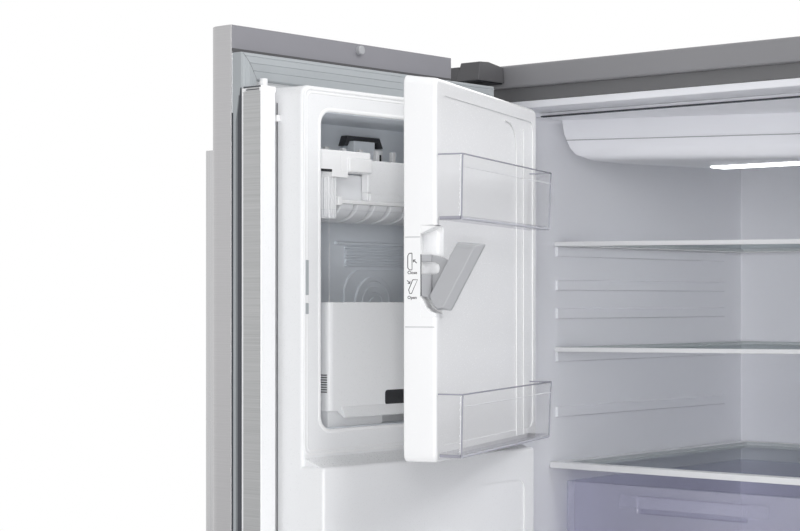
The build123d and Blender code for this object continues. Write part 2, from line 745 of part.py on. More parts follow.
with BuildPart() as mullion_bar:
    door_block(-1, mullion_s0, mullion_s1, mullion_v0, mullion_v0 + mullion_depth, mullion_bottom,
               mullion_top)
    fillet(mullion_bar.edges().filter_by(Axis.Z), 2.5)
    door_block(-1, mullion_s0 + plate_edge, mullion_s1 - plate_edge, mullion_v0 - 1,
               mullion_v0 + mullion_plate, mullion_bottom,
               mullion_top, Mode.SUBTRACT)
    for start, way in ((mullion_top + 1, -1), (mullion_bottom - 1, 1)):
        rod((door_x(-1, mullion_axis_s), door_y(mullion_axis_v), start), (0, 0, way),
            mullion_pin + pin_clearance, 18,
            Mode.SUBTRACT)
    rod((door_x(-1, mullion_s0 + 7), door_y(mullion_v0 + mullion_depth / 2), mullion_top - 6), (0, 0, 1),
        4, 20)
save(mullion_bar, "mullion_bar", mullion_pose)

with BuildPart() as mullion_plate_piece:
    door_block(-1, mullion_s0 + plate_edge, mullion_s1 - plate_edge, mullion_v0,
               mullion_v0 + mullion_plate, mullion_bottom,
               mullion_top)
save(mullion_plate_piece, "mullion_plate", mullion_pose)

# Dispenser: housing, control panel, paddle and drip tray
dispenser_back = dispenser_depth - door_depth
paddle_pivot_v = dispenser_back - 22
paddle_pivot_z = dispenser_top - 60
paddle_pin = 2.5
paddle_half = 34
dispenser_middle = (dispenser_s0 + dispenser_s1) / 2
tray_height = 14

with BuildPart() as dispenser_housing:
    door_panel(-1, dispenser_s0, dispenser_s1, -door_depth, dispenser_back, dispenser_bottom,
               dispenser_top, 14)
    door_panel(-1, dispenser_s0 + dispenser_wall, dispenser_s1 - dispenser_wall, -door_depth - 1,
               dispenser_back - dispenser_wall,
               dispenser_bottom + dispenser_wall, dispenser_top - dispenser_wall, 11, Mode.SUBTRACT)
    door_block(-1, chute_s0, chute_s1, chute_v0, chute_v1, dispenser_top - 10, dispenser_top + 5,
               Mode.SUBTRACT)
    for way in (-1, 1):
        near = dispenser_middle + way * (paddle_half + 2)
        door_block(-1, near, near + way * 6, paddle_pivot_v - 7, dispenser_back - dispenser_wall,
                   paddle_pivot_z - 8,
                   paddle_pivot_z + 8)
    rod((door_x(-1, dispenser_middle - paddle_half - 2), door_y(paddle_pivot_v), paddle_pivot_z),
        (-1, 0, 0), paddle_pin,
        2 * paddle_half + 4)
save(dispenser_housing, "dispenser_housing", left_pose)

with BuildPart() as dispenser_panel:
    door_panel(-1, dispenser_s0, dispenser_s1, -door_depth - panel_thickness, -door_depth,
               dispenser_top + 10, panel_top, 10)
    fillet(dispenser_panel.faces().sort_by(Axis.Y)[0].edges(), 1.5)
save(dispenser_panel, "dispenser_panel", left_pose)

paddle_length = 150
paddle_wall = 5
with BuildPart() as dispenser_paddle:
    rod((door_x(-1, dispenser_middle - paddle_half), door_y(paddle_pivot_v), paddle_pivot_z), (-1, 0, 0),
        6, 2 * paddle_half)
    door_block(-1, dispenser_middle - paddle_half, dispenser_middle + paddle_half, paddle_pivot_v - 6,
               paddle_pivot_v - 6 + paddle_wall, paddle_pivot_z - paddle_length, paddle_pivot_z)
    rod((door_x(-1, dispenser_middle - paddle_half - 1), door_y(paddle_pivot_v), paddle_pivot_z),
        (-1, 0, 0),
        paddle_pin + pin_clearance, 2 * paddle_half + 2, Mode.SUBTRACT)
save(dispenser_paddle, "dispenser_paddle", left_pose)

with BuildPart() as drip_tray:
    tray_z = dispenser_bottom + dispenser_wall
    door_block(-1, dispenser_s0 + 16, dispenser_s1 - 16, -door_depth + 4,
               dispenser_back - dispenser_wall - 4, tray_z,
               tray_z + tray_height)
    for row in range(9):
        s = dispenser_s0 + 26 + row * 19.5
        door_block(-1, s, s + 12, -door_depth + 12, dispenser_back - dispenser_wall - 12, tray_z + 3,
                   tray_z + tray_height + 1,
                   Mode.SUBTRACT)
save(drip_tray, "drip_tray", left_pose)

# Ice maker, bucket and auger in the ice compartment
maker_s0 = ice_left + 10
bucket_s0 = ice_left + 20
maker_back = -ice_back
cup_pitch = 28
cup_count = 7
cup_radius = 13
tray_s0 = maker_s0 + 42
tray_s1 = tray_s0 + cup_pitch * cup_count
tray_top = ice_top - 44
tray_body = 40
tray_v1 = 54
ejector_v = 22
ejector_z = tray_top - 6
ejector_shaft = 4

with BuildPart() as ice_maker_control_box:
    door_block(-1, maker_s0, tray_s0, maker_back, 60, tray_top - 26, tray_top + 26)
    fillet(ice_maker_control_box.edges().filter_by(Axis.Y), 3)
    door_block(-1, maker_s0 + 14, tray_s0 - 6, 60, 64, tray_top - 20, tray_top + 4)
    door_block(-1, maker_s0, bucket_s0 - 1, maker_back, 50, tray_top - 74, tray_top - 24)
    rod((door_x(-1, tray_s0), door_y(ejector_v), ejector_z), (-1, 0, 0), ejector_shaft, 10)
save(ice_maker_control_box, "ice_maker_control_box", left_pose)

with BuildPart() as ice_maker_tray:
    door_block(-1, tray_s0, tray_s1 + 12, maker_back, tray_v1, tray_top - tray_body, tray_top)
    for cup in range(cup_count):
        middle = tray_s0 + cup_pitch * (cup + 0.5)
        rod((door_x(-1, middle), door_y(maker_back), tray_top - tray_body), (0, 1, 0), cup_radius,
            tray_v1 - maker_back)
    door_block(-1, tray_s0 - 1, tray_s1, ejector_v - 22, ejector_v + 22, tray_top - 30, tray_top + 1,
               Mode.SUBTRACT)
    door_block(-1, tray_s0, tray_s1 + 12, tray_v1, tray_v1 + 4, tray_top - tray_body - 2,
               tray_top - tray_body + 3)
    rod((door_x(-1, tray_s1), door_y(ejector_v), ejector_z), (1, 0, 0), ejector_shaft, 10)
    door_block(-1, tray_s0 + 30, tray_s0 + 96, maker_back, 0, tray_top + 4, tray_top + 26)
    door_block(-1, tray_s0 + 30, tray_s0 + 96, maker_back, maker_back + 6, tray_top - 2, tray_top + 6)
save(ice_maker_tray, "ice_maker_tray", left_pose)

with BuildPart() as ice_ejector:
    rod((door_x(-1, tray_s0 + running_gap), door_y(ejector_v), ejector_z), (-1, 0, 0), 6.5,
        tray_s1 - tray_s0 - 2 * running_gap)
    for cup in range(cup_count):
        middle = tray_s0 + cup_pitch * (cup + 0.5)
        door_block(-1, middle - 3, middle + 3, ejector_v - 2, ejector_v + 2, ejector_z, ejector_z + 19)
    rod((door_x(-1, tray_s0 - 1), door_y(ejector_v), ejector_z), (-1, 0, 0),
        ejector_shaft + pin_clearance, 12, Mode.SUBTRACT)
    rod((door_x(-1, tray_s1 + 1), door_y(ejector_v), ejector_z), (1, 0, 0), ejector_shaft + pin_clearance,
        12, Mode.SUBTRACT)
save(ice_ejector, "ice_ejector", left_pose)

bucket_s1 = ice_right - 8
bucket_v0 = 4 - ice_back
bucket_v1 = 70
bucket_bottom = ice_bottom
bucket_split = ice_bottom + 135
bucket_top = tray_top - tray_body - cup_radius - 6
bucket_wall = 3
auger_z = bucket_bottom + 62
auger_v = (bucket_v0 + bucket_v1) / 2
auger_shaft = 5
bucket_foot = 18

with BuildPart() as ice_bucket:
    door_block(-1, bucket_s0, bucket_s1, bucket_v0, bucket_v1, bucket_bottom + bucket_foot, bucket_split)
    fillet(ice_bucket.edges().filter_by(Axis.Z), 7)
    door_block(-1, bucket_s0 + bucket_wall, bucket_s1 - bucket_wall, bucket_v0 + bucket_wall,
               bucket_v1 - bucket_wall,
               bucket_bottom + bucket_foot + bucket_wall, bucket_split + 1, Mode.SUBTRACT)
    door_block(-1, bucket_s0 + 6, bucket_s1 - 6, bucket_v0 + 6, bucket_v1 - 8, bucket_bottom,
               bucket_bottom + bucket_foot)
    grip_middle = (bucket_s0 + bucket_s1) / 2
    door_block(-1, grip_middle - 46, grip_middle + 46, bucket_v1 - 22, bucket_v1 + 1, bucket_bottom - 1,
               bucket_bottom + bucket_foot, Mode.SUBTRACT)
    door_block(-1, chute_s0, chute_s1, chute_v0 + 8, chute_v1, bucket_bottom - 1,
               bucket_bottom + bucket_foot + 4, Mode.SUBTRACT)
    for start, way in ((bucket_s0 + bucket_wall, -1), (bucket_s1 - bucket_wall, 1)):
        rod((door_x(-1, start), door_y(auger_v), auger_z), (way, 0, 0), auger_shaft, 14)
save(ice_bucket, "ice_bucket", left_pose)

with BuildPart() as ice_bucket_window:
    door_block(-1, bucket_s0, bucket_s1, bucket_v0, bucket_v1, bucket_split, bucket_top)
    fillet(ice_bucket_window.edges().filter_by(Axis.Z), 7)
    door_block(-1, bucket_s0 + bucket_wall, bucket_s1 - bucket_wall, bucket_v0 + bucket_wall,
               bucket_v1 - bucket_wall,
               bucket_split - 1, bucket_top + 1, Mode.SUBTRACT)
save(ice_bucket_window, "ice_bucket_window", left_pose)

auger_radius = 30
paddle_count = 9
with BuildPart() as ice_auger:
    auger_s0 = bucket_s0 + bucket_wall + 1
    auger_s1 = bucket_s1 - bucket_wall - 1
    rod((door_x(-1, auger_s0), door_y(auger_v), auger_z), (-1, 0, 0), 8, auger_s1 - auger_s0)
    for paddle in range(paddle_count):
        s = auger_s0 + 18 + paddle * (auger_s1 - auger_s0 - 36) / (paddle_count - 1)
        arm = Plane(origin=(door_x(-1, s - 4), door_y(auger_v), auger_z), x_dir=(0, 1, 0), z_dir=(-1, 0, 0))
        with BuildSketch(arm.rotated((40 * paddle, 0, 0))):
            SlotOverall(2 * auger_radius, 12)
        extrude(amount=8)
    rod((door_x(-1, auger_s0 - 1), door_y(auger_v), auger_z), (-1, 0, 0), auger_shaft + pin_clearance, 15,
        Mode.SUBTRACT)
    rod((door_x(-1, auger_s1 + 1), door_y(auger_v), auger_z), (1, 0, 0), auger_shaft + pin_clearance, 15,
        Mode.SUBTRACT)
save(ice_auger, "ice_auger", left_pose)

# Ice door: shell, gasket, bins and latch
seam_cut = 0.8
seam_low = latch_height - 22
seam_high = latch_height + 69
latch_v = ice_door_outer + latch_proud
groove = 5
groove_inset = 9
groove_width = 10

with BuildPart() as ice_door_shell:
    door_panel(-1, dyke_inset, ice_door_far, ice_door_inner, ice_door_outer, ice_door_bottom,
               ice_door_top, 9)
    fillet(ice_door_shell.faces().sort_by(Axis.Y)[-1].edges(), 4)
    fillet(ice_door_shell.faces().sort_by(Axis.Y)[0].edges(), 2)
    door_panel(-1, dyke_inset + groove_inset, ice_door_far - groove_inset, ice_door_inner - 1,
               ice_door_inner + groove,
               ice_door_bottom + groove_inset, ice_door_top - groove_inset, 8, Mode.SUBTRACT)
    inset = groove_inset + groove_width
    door_panel(-1, dyke_inset + inset, ice_door_far - inset, ice_door_inner, ice_door_inner + groove + 1,
               ice_door_bottom + inset, ice_door_top - inset, 6)
    door_panel(-1, dyke_inset + 16, ice_door_far - 14, ice_door_outer - 1, ice_door_outer + 1,
               ice_door_bottom + 16,
               ice_door_top - 16, 12, Mode.SUBTRACT)
    door_panel(-1, dyke_inset - 12, dyke_inset + scoop_length, ice_door_outer - scoop_depth,
               ice_door_outer + 1,
               latch_height - scoop_below, latch_height + scoop_above, 11, Mode.SUBTRACT)
    for seam in (seam_low, seam_high):
        door_block(-1, dyke_inset - 1, dyke_inset + 1.2, ice_door_inner, ice_door_outer - 4,
                   seam - seam_cut / 2,
                   seam + seam_cut / 2, Mode.SUBTRACT)
    axis_point = (door_x(-1, ice_axis_s), door_y(ice_axis_v))
    rod((*axis_point, ice_door_top + 1), (0, 0, -1), ice_pin + pin_clearance, 16, Mode.SUBTRACT)
    rod((*axis_point, ice_door_bottom - 1), (0, 0, 1), ice_pin + pin_clearance, 16, Mode.SUBTRACT)
save(ice_door_shell, "ice_door_shell", ice_pose)

with BuildPart() as ice_door_gasket:
    door_panel(-1, dyke_inset + groove_inset, ice_door_far - groove_inset, frame_depth + running_gap,
               ice_door_inner + groove,
               ice_door_bottom + groove_inset, ice_door_top - groove_inset, 8)
    door_panel(-1, dyke_inset + inset, ice_door_far - inset, frame_depth, ice_door_inner + groove + 1,
               ice_door_bottom + inset, ice_door_top - inset, 6, Mode.SUBTRACT)
save(ice_door_gasket, "ice_door_gasket", ice_pose)

bin_levels = {"upper": (upper_bin_rise, upper_bin_height), "lower": (lower_bin_rise, lower_bin_height)}
for level, (rise, height) in bin_levels.items():
    with BuildPart() as door_bin:
        low = ice_door_bottom + rise
        s0 = dyke_inset + bin_end_inset
        s1 = ice_door_far - bin_far_inset
        v0 = ice_door_outer
        v1 = ice_door_outer + bin_depth
        door_block(-1, s0, s1, v0, v1, low, low + height)
        fillet(door_bin.edges().filter_by(Axis.Z).group_by(Axis.Y)[-1], 5)
        door_block(-1, s0 + bin_wall, s1 - bin_wall, v0 + bin_wall, v1 - bin_wall, low + bin_wall,
                   low + height + 1, Mode.SUBTRACT)
        door_block(-1, s0 + 20, s1 - 20, v0 - 1, v0, low + 14, low + height - 10)
    save(door_bin, f"ice_door_{level}_bin", ice_pose)

with BuildPart() as ice_latch_base:
    plate_s = dyke_inset + 1
    plate_v = ice_door_outer - scoop_depth
    door_panel(-1, plate_s, plate_s + scoop_length - 3, plate_v, plate_v + 3,
               latch_height - scoop_below + 3,
               latch_height + scoop_above - 3, 9)
    xs = sorted((door_x(-1, plate_s), door_x(-1, plate_s + latch_plate)))
    with BuildSketch(Plane.YZ.offset(xs[0])):
        with BuildLine():
            Polyline((door_y(plate_v), latch_height + 44), (door_y(plate_v + 9), latch_height + 50),
                     (door_y(latch_v - 9), latch_height + 46), (door_y(latch_v - 7), latch_height + 8),
                     (door_y(latch_v + 5), latch_height + 4), (door_y(latch_v + 5), latch_height - 5),
                     (door_y(latch_v - 6), latch_height - 6), (door_y(plate_v),
                                                               latch_height + 8), close=True)
        make_face()
        with Locations((door_y(plate_v + 6), latch_height + 36)):
            SlotOverall(9, 6, rotation=90, mode=Mode.SUBTRACT)
    extrude(amount=latch_plate)
    rod((xs[1] - latch_plate, door_y(latch_v), latch_height), (-1, 0, 0), latch_pin, lever_thickness + 1)
save(ice_latch_base, "ice_latch_base", ice_pose)

lever_pivot = Pos(0, door_y(latch_v), latch_height)
lever_pose = ice_pose * lever_pivot * Rot(-lever_tilt, 0, 0) * lever_pivot.inverse()
with BuildPart() as ice_latch_lever:
    lever_s = dyke_inset + 1 + latch_plate + running_gap
    with BuildSketch(Plane.YZ.offset(door_x(-1, lever_s))):
        with BuildLine():
            Polyline((door_y(latch_v - 5), latch_height - 5.5), (door_y(latch_v + 9.5), latch_height - 2),
                     (door_y(latch_v + 19), latch_height + 74), (door_y(latch_v - 10),
                                                                 latch_height + 65), close=True)
        make_face()
    extrude(amount=-lever_thickness)
    fillet(ice_latch_lever.edges().filter_by(Axis.X), 2)
    rod((door_x(-1, lever_s - 1), door_y(latch_v), latch_height), (-1, 0, 0), latch_pin + pin_clearance,
        lever_thickness + 2,
        Mode.SUBTRACT)
save(ice_latch_lever, "ice_latch_lever", lever_pose)

# Right door: plain skin, a liner with a recess, and three bins
right_dyke_depth = 45
right_recess = 6
right_bin_end = 104

with BuildPart() as right_door_skin:
    door_skin(1)
save(right_door_skin, "right_door_skin", right_pose)

with BuildPart() as right_door_liner:
    door_panel(1, dyke_inset, dyke_end, -1, right_dyke_depth, dyke_bottom, dyke_top, 12)
    fillet(right_door_liner.faces().sort_by(Axis.Y)[-1].edges(), 5)
    door_core(1)
    hinge_bores(1)
    door_panel(1, ice_left, ice_right, right_recess, right_dyke_depth + 1, dyke_bottom + frame_border,
               ice_top, 14, Mode.SUBTRACT)
save(right_door_liner, "right_door_liner", right_pose)

right_bin_height = 100
right_bin_levels = [dyke_bottom + frame_border + 16, ledge_height - 20, ice_top - 130]
with BuildPart() as right_door_bins:
    for low in right_bin_levels:
        door_block(1, ice_left, ice_right, right_recess, right_bin_end, low, low + right_bin_height)
        door_block(1, ice_left + 4, ice_right - 4, right_recess + 4, right_bin_end - 4, low + 4,
                   low + right_bin_height + 1,
                   Mode.SUBTRACT)
    fillet(right_door_bins.edges().filter_by(Axis.Z).group_by(Axis.Y)[-1], 3)
save(right_door_bins, "right_door_bins", right_pose)

# Freezer drawer: front, gasket, handle, basket and runners
freezer_skin_bottom = freezer_front_bottom
basket_half = cavity_half - 30
basket_back = freezer_back_y - 30
basket_bottom = freezer_floor + 12
basket_top = freezer_ceiling - 90
runner_height = 24

with BuildPart() as freezer_front_skin:
    for grow, way in ((0, Mode.ADD), (sheet, Mode.SUBTRACT)):
        with BuildSketch(Plane.XY.offset(freezer_skin_bottom + grow)):
            edge = half_width - grow
            front = door_y(-door_depth + grow)
            rear = door_y(0) + grow
            radius = door_corner - grow
            with BuildLine():
                Line((-edge, rear), (-edge, front + radius))
                RadiusArc((-edge, front + radius), (-edge + radius, front), -radius)
                Line((-edge + radius, front), (edge - radius, front))
                RadiusArc((edge - radius, front), (edge, front + radius), -radius)
                Line((edge, front + radius), (edge, rear))
                Line((edge, rear), (-edge, rear))
            make_face()
        extrude(amount=freezer_front_top - freezer_skin_bottom - 2 * grow, mode=way)
save(freezer_front_skin, "freezer_front_skin")

with BuildPart() as freezer_front_liner:
    edge = half_width - sheet
    front = door_y(-door_depth + sheet)
    radius = door_corner - sheet
    with BuildSketch(Plane.XY.offset(freezer_skin_bottom + sheet)):
        with BuildLine():
            Line((-edge, door_y(0)), (-edge, front + radius))
            RadiusArc((-edge, front + radius), (-edge + radius, front), -radius)
            Line((-edge + radius, front), (edge - radius, front))
            RadiusArc((edge - radius, front), (edge, front + radius), -radius)
            Line((edge, front + radius), (edge, door_y(0)))
            Line((edge, door_y(0)), (-edge, door_y(0)))
        make_face()
    extrude(amount=freezer_front_top - freezer_skin_bottom - 2 * sheet)
    upright_panel(-cavity_half + 12, cavity_half - 12, freezer_floor + 10, freezer_ceiling - 10,
                  door_y(0), front_y + 20, 14)
save(freezer_front_liner, "freezer_front_liner")

with BuildPart() as freezer_gasket:
    seal_half = half_width - gasket_inset - 20
    seal_low = freezer_floor - 24
    seal_high = freezer_ceiling + 20
    upright_panel(-seal_half, seal_half, seal_low, seal_high, door_y(0), door_y(gasket_height), 3)
    upright_panel(-seal_half + gasket_width, seal_half - gasket_width, seal_low + gasket_width,
                  seal_high - gasket_width,
                  door_y(-1), door_y(gasket_height + 1), 2, Mode.SUBTRACT)
save(freezer_gasket, "freezer_gasket")

with BuildPart() as freezer_handle:
    bar_half = half_width - 80
    bar_front = door_y(-door_depth - bar_standoff - bar_depth)
    bar_z = freezer_front_top - 60
    block(-bar_half, bar_half, bar_front, bar_front + bar_depth, bar_z - bar_width / 2,
          bar_z + bar_width / 2)
    fillet(freezer_handle.edges().filter_by(Axis.X), 6)
    for side in (-1, 1):
        block(side * bar_half, side * (bar_half - handle_post), bar_front + bar_depth - 4,
              door_y(-door_depth),
              bar_z - bar_width / 2 + 2, bar_z + bar_width / 2 - 2)
save(freezer_handle, "freezer_handle")

with BuildPart() as freezer_basket:
    block(-basket_half, basket_half, front_y + 20, basket_back, basket_bottom, basket_top)
    block(-basket_half + 4, basket_half - 4, front_y + 26, basket_back - 4, basket_bottom + 4,
          basket_top + 1, Mode.SUBTRACT)
    fillet(freezer_basket.edges().filter_by(Axis.Z).group_by(Axis.Y)[-1], 10)
save(freezer_basket, "freezer_basket")

with BuildPart() as freezer_runners:
    for side in (-1, 1):
        block(side * basket_half, side * (cavity_half - running_gap), front_y + 20, basket_back,
              basket_bottom + 60,
              basket_bottom + 60 + runner_height)
save(freezer_runners, "freezer_runners")
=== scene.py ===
# %% [markdown]
# This lesson dresses a French-door refrigerator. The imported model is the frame: every solid is already in its
# place and on its moving body. We only add looks, so we load the frame first and keep the box it fills.

# %% Load the frame
import json
import math

import bmesh
import bpy
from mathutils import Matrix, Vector


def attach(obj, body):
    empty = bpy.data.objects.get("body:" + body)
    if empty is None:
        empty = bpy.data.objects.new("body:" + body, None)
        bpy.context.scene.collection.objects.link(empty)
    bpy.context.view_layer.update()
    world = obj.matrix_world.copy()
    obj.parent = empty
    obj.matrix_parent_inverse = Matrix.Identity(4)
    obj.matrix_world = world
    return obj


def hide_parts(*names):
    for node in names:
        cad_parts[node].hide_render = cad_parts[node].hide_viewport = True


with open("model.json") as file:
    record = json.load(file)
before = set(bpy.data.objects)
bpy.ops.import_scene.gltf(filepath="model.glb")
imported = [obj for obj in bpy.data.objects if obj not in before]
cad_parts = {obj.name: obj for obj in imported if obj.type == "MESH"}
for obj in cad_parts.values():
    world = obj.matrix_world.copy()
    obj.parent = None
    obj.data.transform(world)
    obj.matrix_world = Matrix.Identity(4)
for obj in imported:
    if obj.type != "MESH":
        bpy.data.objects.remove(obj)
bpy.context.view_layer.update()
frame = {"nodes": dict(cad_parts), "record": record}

record = frame["record"]
body_of = {node: body for body, nodes in record["behaviour"]["bodies"].items() for node in nodes}
slot_of = {part["node"]: part["material_slot"] for part in record["subparts"]}

# %% [markdown]
# Both doors stand square open, so a point on a door is easiest to give as the maker would: s along the door from
# its free edge, v inwards from the door's inner face and z up from the floor, all in millimetres. Three short
# helpers turn that into the frame's metres. The small ice door stands twenty degrees ajar on the left door, so
# its helper turns the point about the ice door's hinge, given as x and y in the frame and as s and v on the door.

# %% Places on the doors
door_plane, free_edge = 399, 601
ajar = math.radians(20)
hinge_x, hinge_y, hinge_s, hinge_v = -318.5, -220.5, 380.5, 80.5


def cabinet(x, y, z):
    return Vector((x, y, z)) / 1000


def left(s, v, z):
    return Vector((v - door_plane, s - free_edge, z)) / 1000


def right(s, v, z):
    return Vector((door_plane - v, s - free_edge, z)) / 1000


def ice(s, v, z):
    across, along = v - hinge_v, s - hinge_s
    x = hinge_x + math.cos(ajar) * across - math.sin(ajar) * along
    y = hinge_y + math.sin(ajar) * across + math.cos(ajar) * along
    return Vector((x, y, z)) / 1000


print("ice door free edge at", [round(c, 3) for c in ice(30, 113, 1500)])

# %% [markdown]
# Finishes come before shapes. Each one starts from the Principled shader and gets its detail from noise that is
# read at the piece's own place, so nothing slides when a door swings. Two helpers add a node and
# join two nodes. Four more build on them: one makes the noise, one lets it shade the colour, one lets it change the
# gloss, one turns it into relief.

# %% Helpers for finishes
def blank(name):
    made = bpy.data.materials.new(name)
    made.use_nodes = True
    return made, made.node_tree, made.node_tree.nodes["Principled BSDF"]


def add_node(tree, kind, **settings):
    made = tree.nodes.new("ShaderNode" + kind)
    for name, value in settings.items():
        made.inputs[name.replace("_", " ")].default_value = value
    return made


def join(source, outlet, target, inlet):
    target.id_data.links.new(source.outputs[outlet], target.inputs[inlet])


def noise(tree, scale, detail=2.0, stretch=(1.0, 1.0, 1.0)):
    place = add_node(tree, "TexCoord")
    mapping = add_node(tree, "Mapping", Scale=stretch)
    texture = add_node(tree, "TexNoise", Scale=scale, Detail=detail)
    join(place, "Object", mapping, "Vector")
    join(mapping, "Vector", texture, "Vector")
    return texture.outputs["Fac"]


def shade(tree, fac, socket, dark, light, low=0.3, high=0.7):
    ramp = add_node(tree, "ValToRGB")
    for stop, place, colour in zip(ramp.color_ramp.elements, (low, high), (dark, light)):
        stop.position = place
        stop.color = (*colour, 1.0)
    tree.links.new(fac, ramp.inputs["Fac"])
    tree.links.new(ramp.outputs["Color"], socket)


def vary(tree, fac, socket, low, high):
    spread = add_node(tree, "MapRange", From_Min=0.3, From_Max=0.7, To_Min=low, To_Max=high)
    tree.links.new(fac, spread.inputs["Value"])
    tree.links.new(spread.outputs["Result"], socket)


def relief(tree, fac, shader, depth, strength=0.3):
    bump = add_node(tree, "Bump", Strength=strength, Distance=depth)
    tree.links.new(fac, bump.inputs["Height"])
    join(bump, "Normal", shader, "Normal")


print("finish helpers ready")

# %% [markdown]
# Most of what the open door shows is moulded plastic. A moulding is never quite one colour: the shade drifts a
# little over the width of a hand and the tool leaves a fine grain that breaks up the gloss. One function makes
# all of these plastics, from the white liner to the charcoal dispenser, by colour, gloss and grain.

# %% Moulded plastics
def moulded(name, colour, gloss, drift=0.03, grain=0.00005, speck=700.0):
    made, tree, shader = blank(name)
    broad = noise(tree, 3.5, 3.0)
    fine = noise(tree, speck, 2.0)
    shade(tree, broad, shader.inputs["Base Color"], [c * (1 - drift) for c in colour], colour)
    vary(tree, fine, shader.inputs["Roughness"], gloss - 0.04, gloss + 0.06)
    relief(tree, fine, shader, grain)
    return made


white_liner = moulded("white_liner", (0.86, 0.865, 0.875), 0.30, 0.02, 0.00003)
white_gloss = moulded("white_gloss", (0.90, 0.90, 0.905), 0.22, 0.015, 0.00002)
cool_lining = moulded("cool_lining", (0.87, 0.91, 0.96), 0.38, 0.03)
fridge_lining = moulded("fridge_lining", (0.93, 0.935, 0.975), 0.34, 0.02)
tray_plastic = moulded("tray_plastic", (0.86, 0.87, 0.89), 0.34, 0.04)
cap_plastic = moulded("cap_plastic", (0.265, 0.262, 0.285), 0.48, 0.05, 0.0001, 1100.0)
hinge_plastic = moulded("hinge_plastic", (0.088, 0.087, 0.092), 0.42, 0.08, 0.0001, 1100.0)
latch_plastic = moulded("latch_plastic", (0.43, 0.435, 0.452), 0.36, 0.05)
charcoal_plastic = moulded("charcoal_plastic", (0.035, 0.036, 0.040), 0.36, 0.15, 0.0001, 900.0)
seal_rubber = moulded("seal_rubber", (0.42, 0.445, 0.462), 0.62, 0.06, 0.0001, 500.0)
dark_gap = moulded("dark_gap", (0.020, 0.021, 0.025), 0.6, 0.2)
roller_plastic = moulded("roller_plastic", (0.16, 0.16, 0.165), 0.55, 0.1)
print("moulded plastics:", len(bpy.data.materials))

# %% [markdown]
# The door skins, the mullion plate and the handles are brushed stainless steel. Brushing leaves scratches that
# run one way, so the noise is squeezed across the grain and drawn out along it. The doors are brushed level; the
# bar handles are brushed along the bar. The streaks shade the colour a little and the gloss rather more.

# %% Brushed and plain metals
def brushed(name, colour, gloss, stretch, contrast=0.16):
    made, tree, shader = blank(name)
    shader.inputs["Metallic"].default_value = 1.0
    streak = noise(tree, 1.0, 4.0, stretch)
    broad = noise(tree, 2.0, 2.0)
    shade(tree, streak, shader.inputs["Base Color"], [c * (1 - contrast) for c in colour], colour)
    vary(tree, broad, shader.inputs["Roughness"], gloss - 0.03, gloss + 0.05)
    relief(tree, streak, shader, 0.0001, 0.12)
    return made


door_steel = brushed("door_steel", (0.53, 0.525, 0.535), 0.34, (5.0, 5.0, 1500.0))
plate_steel = brushed("plate_steel", (0.50, 0.505, 0.51), 0.40, (9.0, 9.0, 1100.0))
bar_steel = brushed("bar_steel", (0.60, 0.60, 0.61), 0.26, (1300.0, 1300.0, 4.0))
rail_steel = brushed("rail_steel", (0.60, 0.60, 0.61), 0.26, (4.0, 1300.0, 1300.0))
zinc_sheet = brushed("zinc_sheet", (0.42, 0.43, 0.44), 0.46, (26.0, 26.0, 26.0), 0.22)
fin_aluminium = brushed("fin_aluminium", (0.66, 0.67, 0.68), 0.34, (300.0, 300.0, 8.0))


def painted(name, colour, gloss):
    made, tree, shader = blank(name)
    peel = noise(tree, 420.0, 1.0)
    broad = noise(tree, 2.2, 3.0)
    shade(tree, broad, shader.inputs["Base Color"], [c * 0.94 for c in colour], colour)
    vary(tree, peel, shader.inputs["Roughness"], gloss - 0.05, gloss + 0.07)
    relief(tree, peel, shader, 0.0003, 0.25)
    return made


case_paint = painted("case_paint", (0.27, 0.27, 0.275), 0.42)
frame_paint = painted("frame_paint", (0.16, 0.16, 0.165), 0.40)
trim_paint = painted("trim_paint", (0.27, 0.268, 0.28), 0.40)
black_enamel = painted("black_enamel", (0.012, 0.012, 0.013), 0.30)
print("metals and paints ready")

# %% [markdown]
# The bins, the top of the ice bucket, the drawers and the shelves are thin clear sheet. Light passes such a sheet
# almost straight, so it is a tinted transparent shader. Seen at a low angle a sheet shows more of its tint and
# more reflection, which draws the corners and rims of a bin: Layer Weight steers both. Only the outer side of
# the wall mirrors, so that no ray is caught between its two faces, and lamp light passes almost unhindered.

# %% Clear plastics and glass
def blend(tree, share, first, second):
    mixer = add_node(tree, "MixShader")
    tree.links.new(share, mixer.inputs["Fac"])
    tree.links.new(first, mixer.inputs[1])
    tree.links.new(second, mixer.inputs[2])
    return mixer


milk_colour = (0.8, 0.8, 0.9)


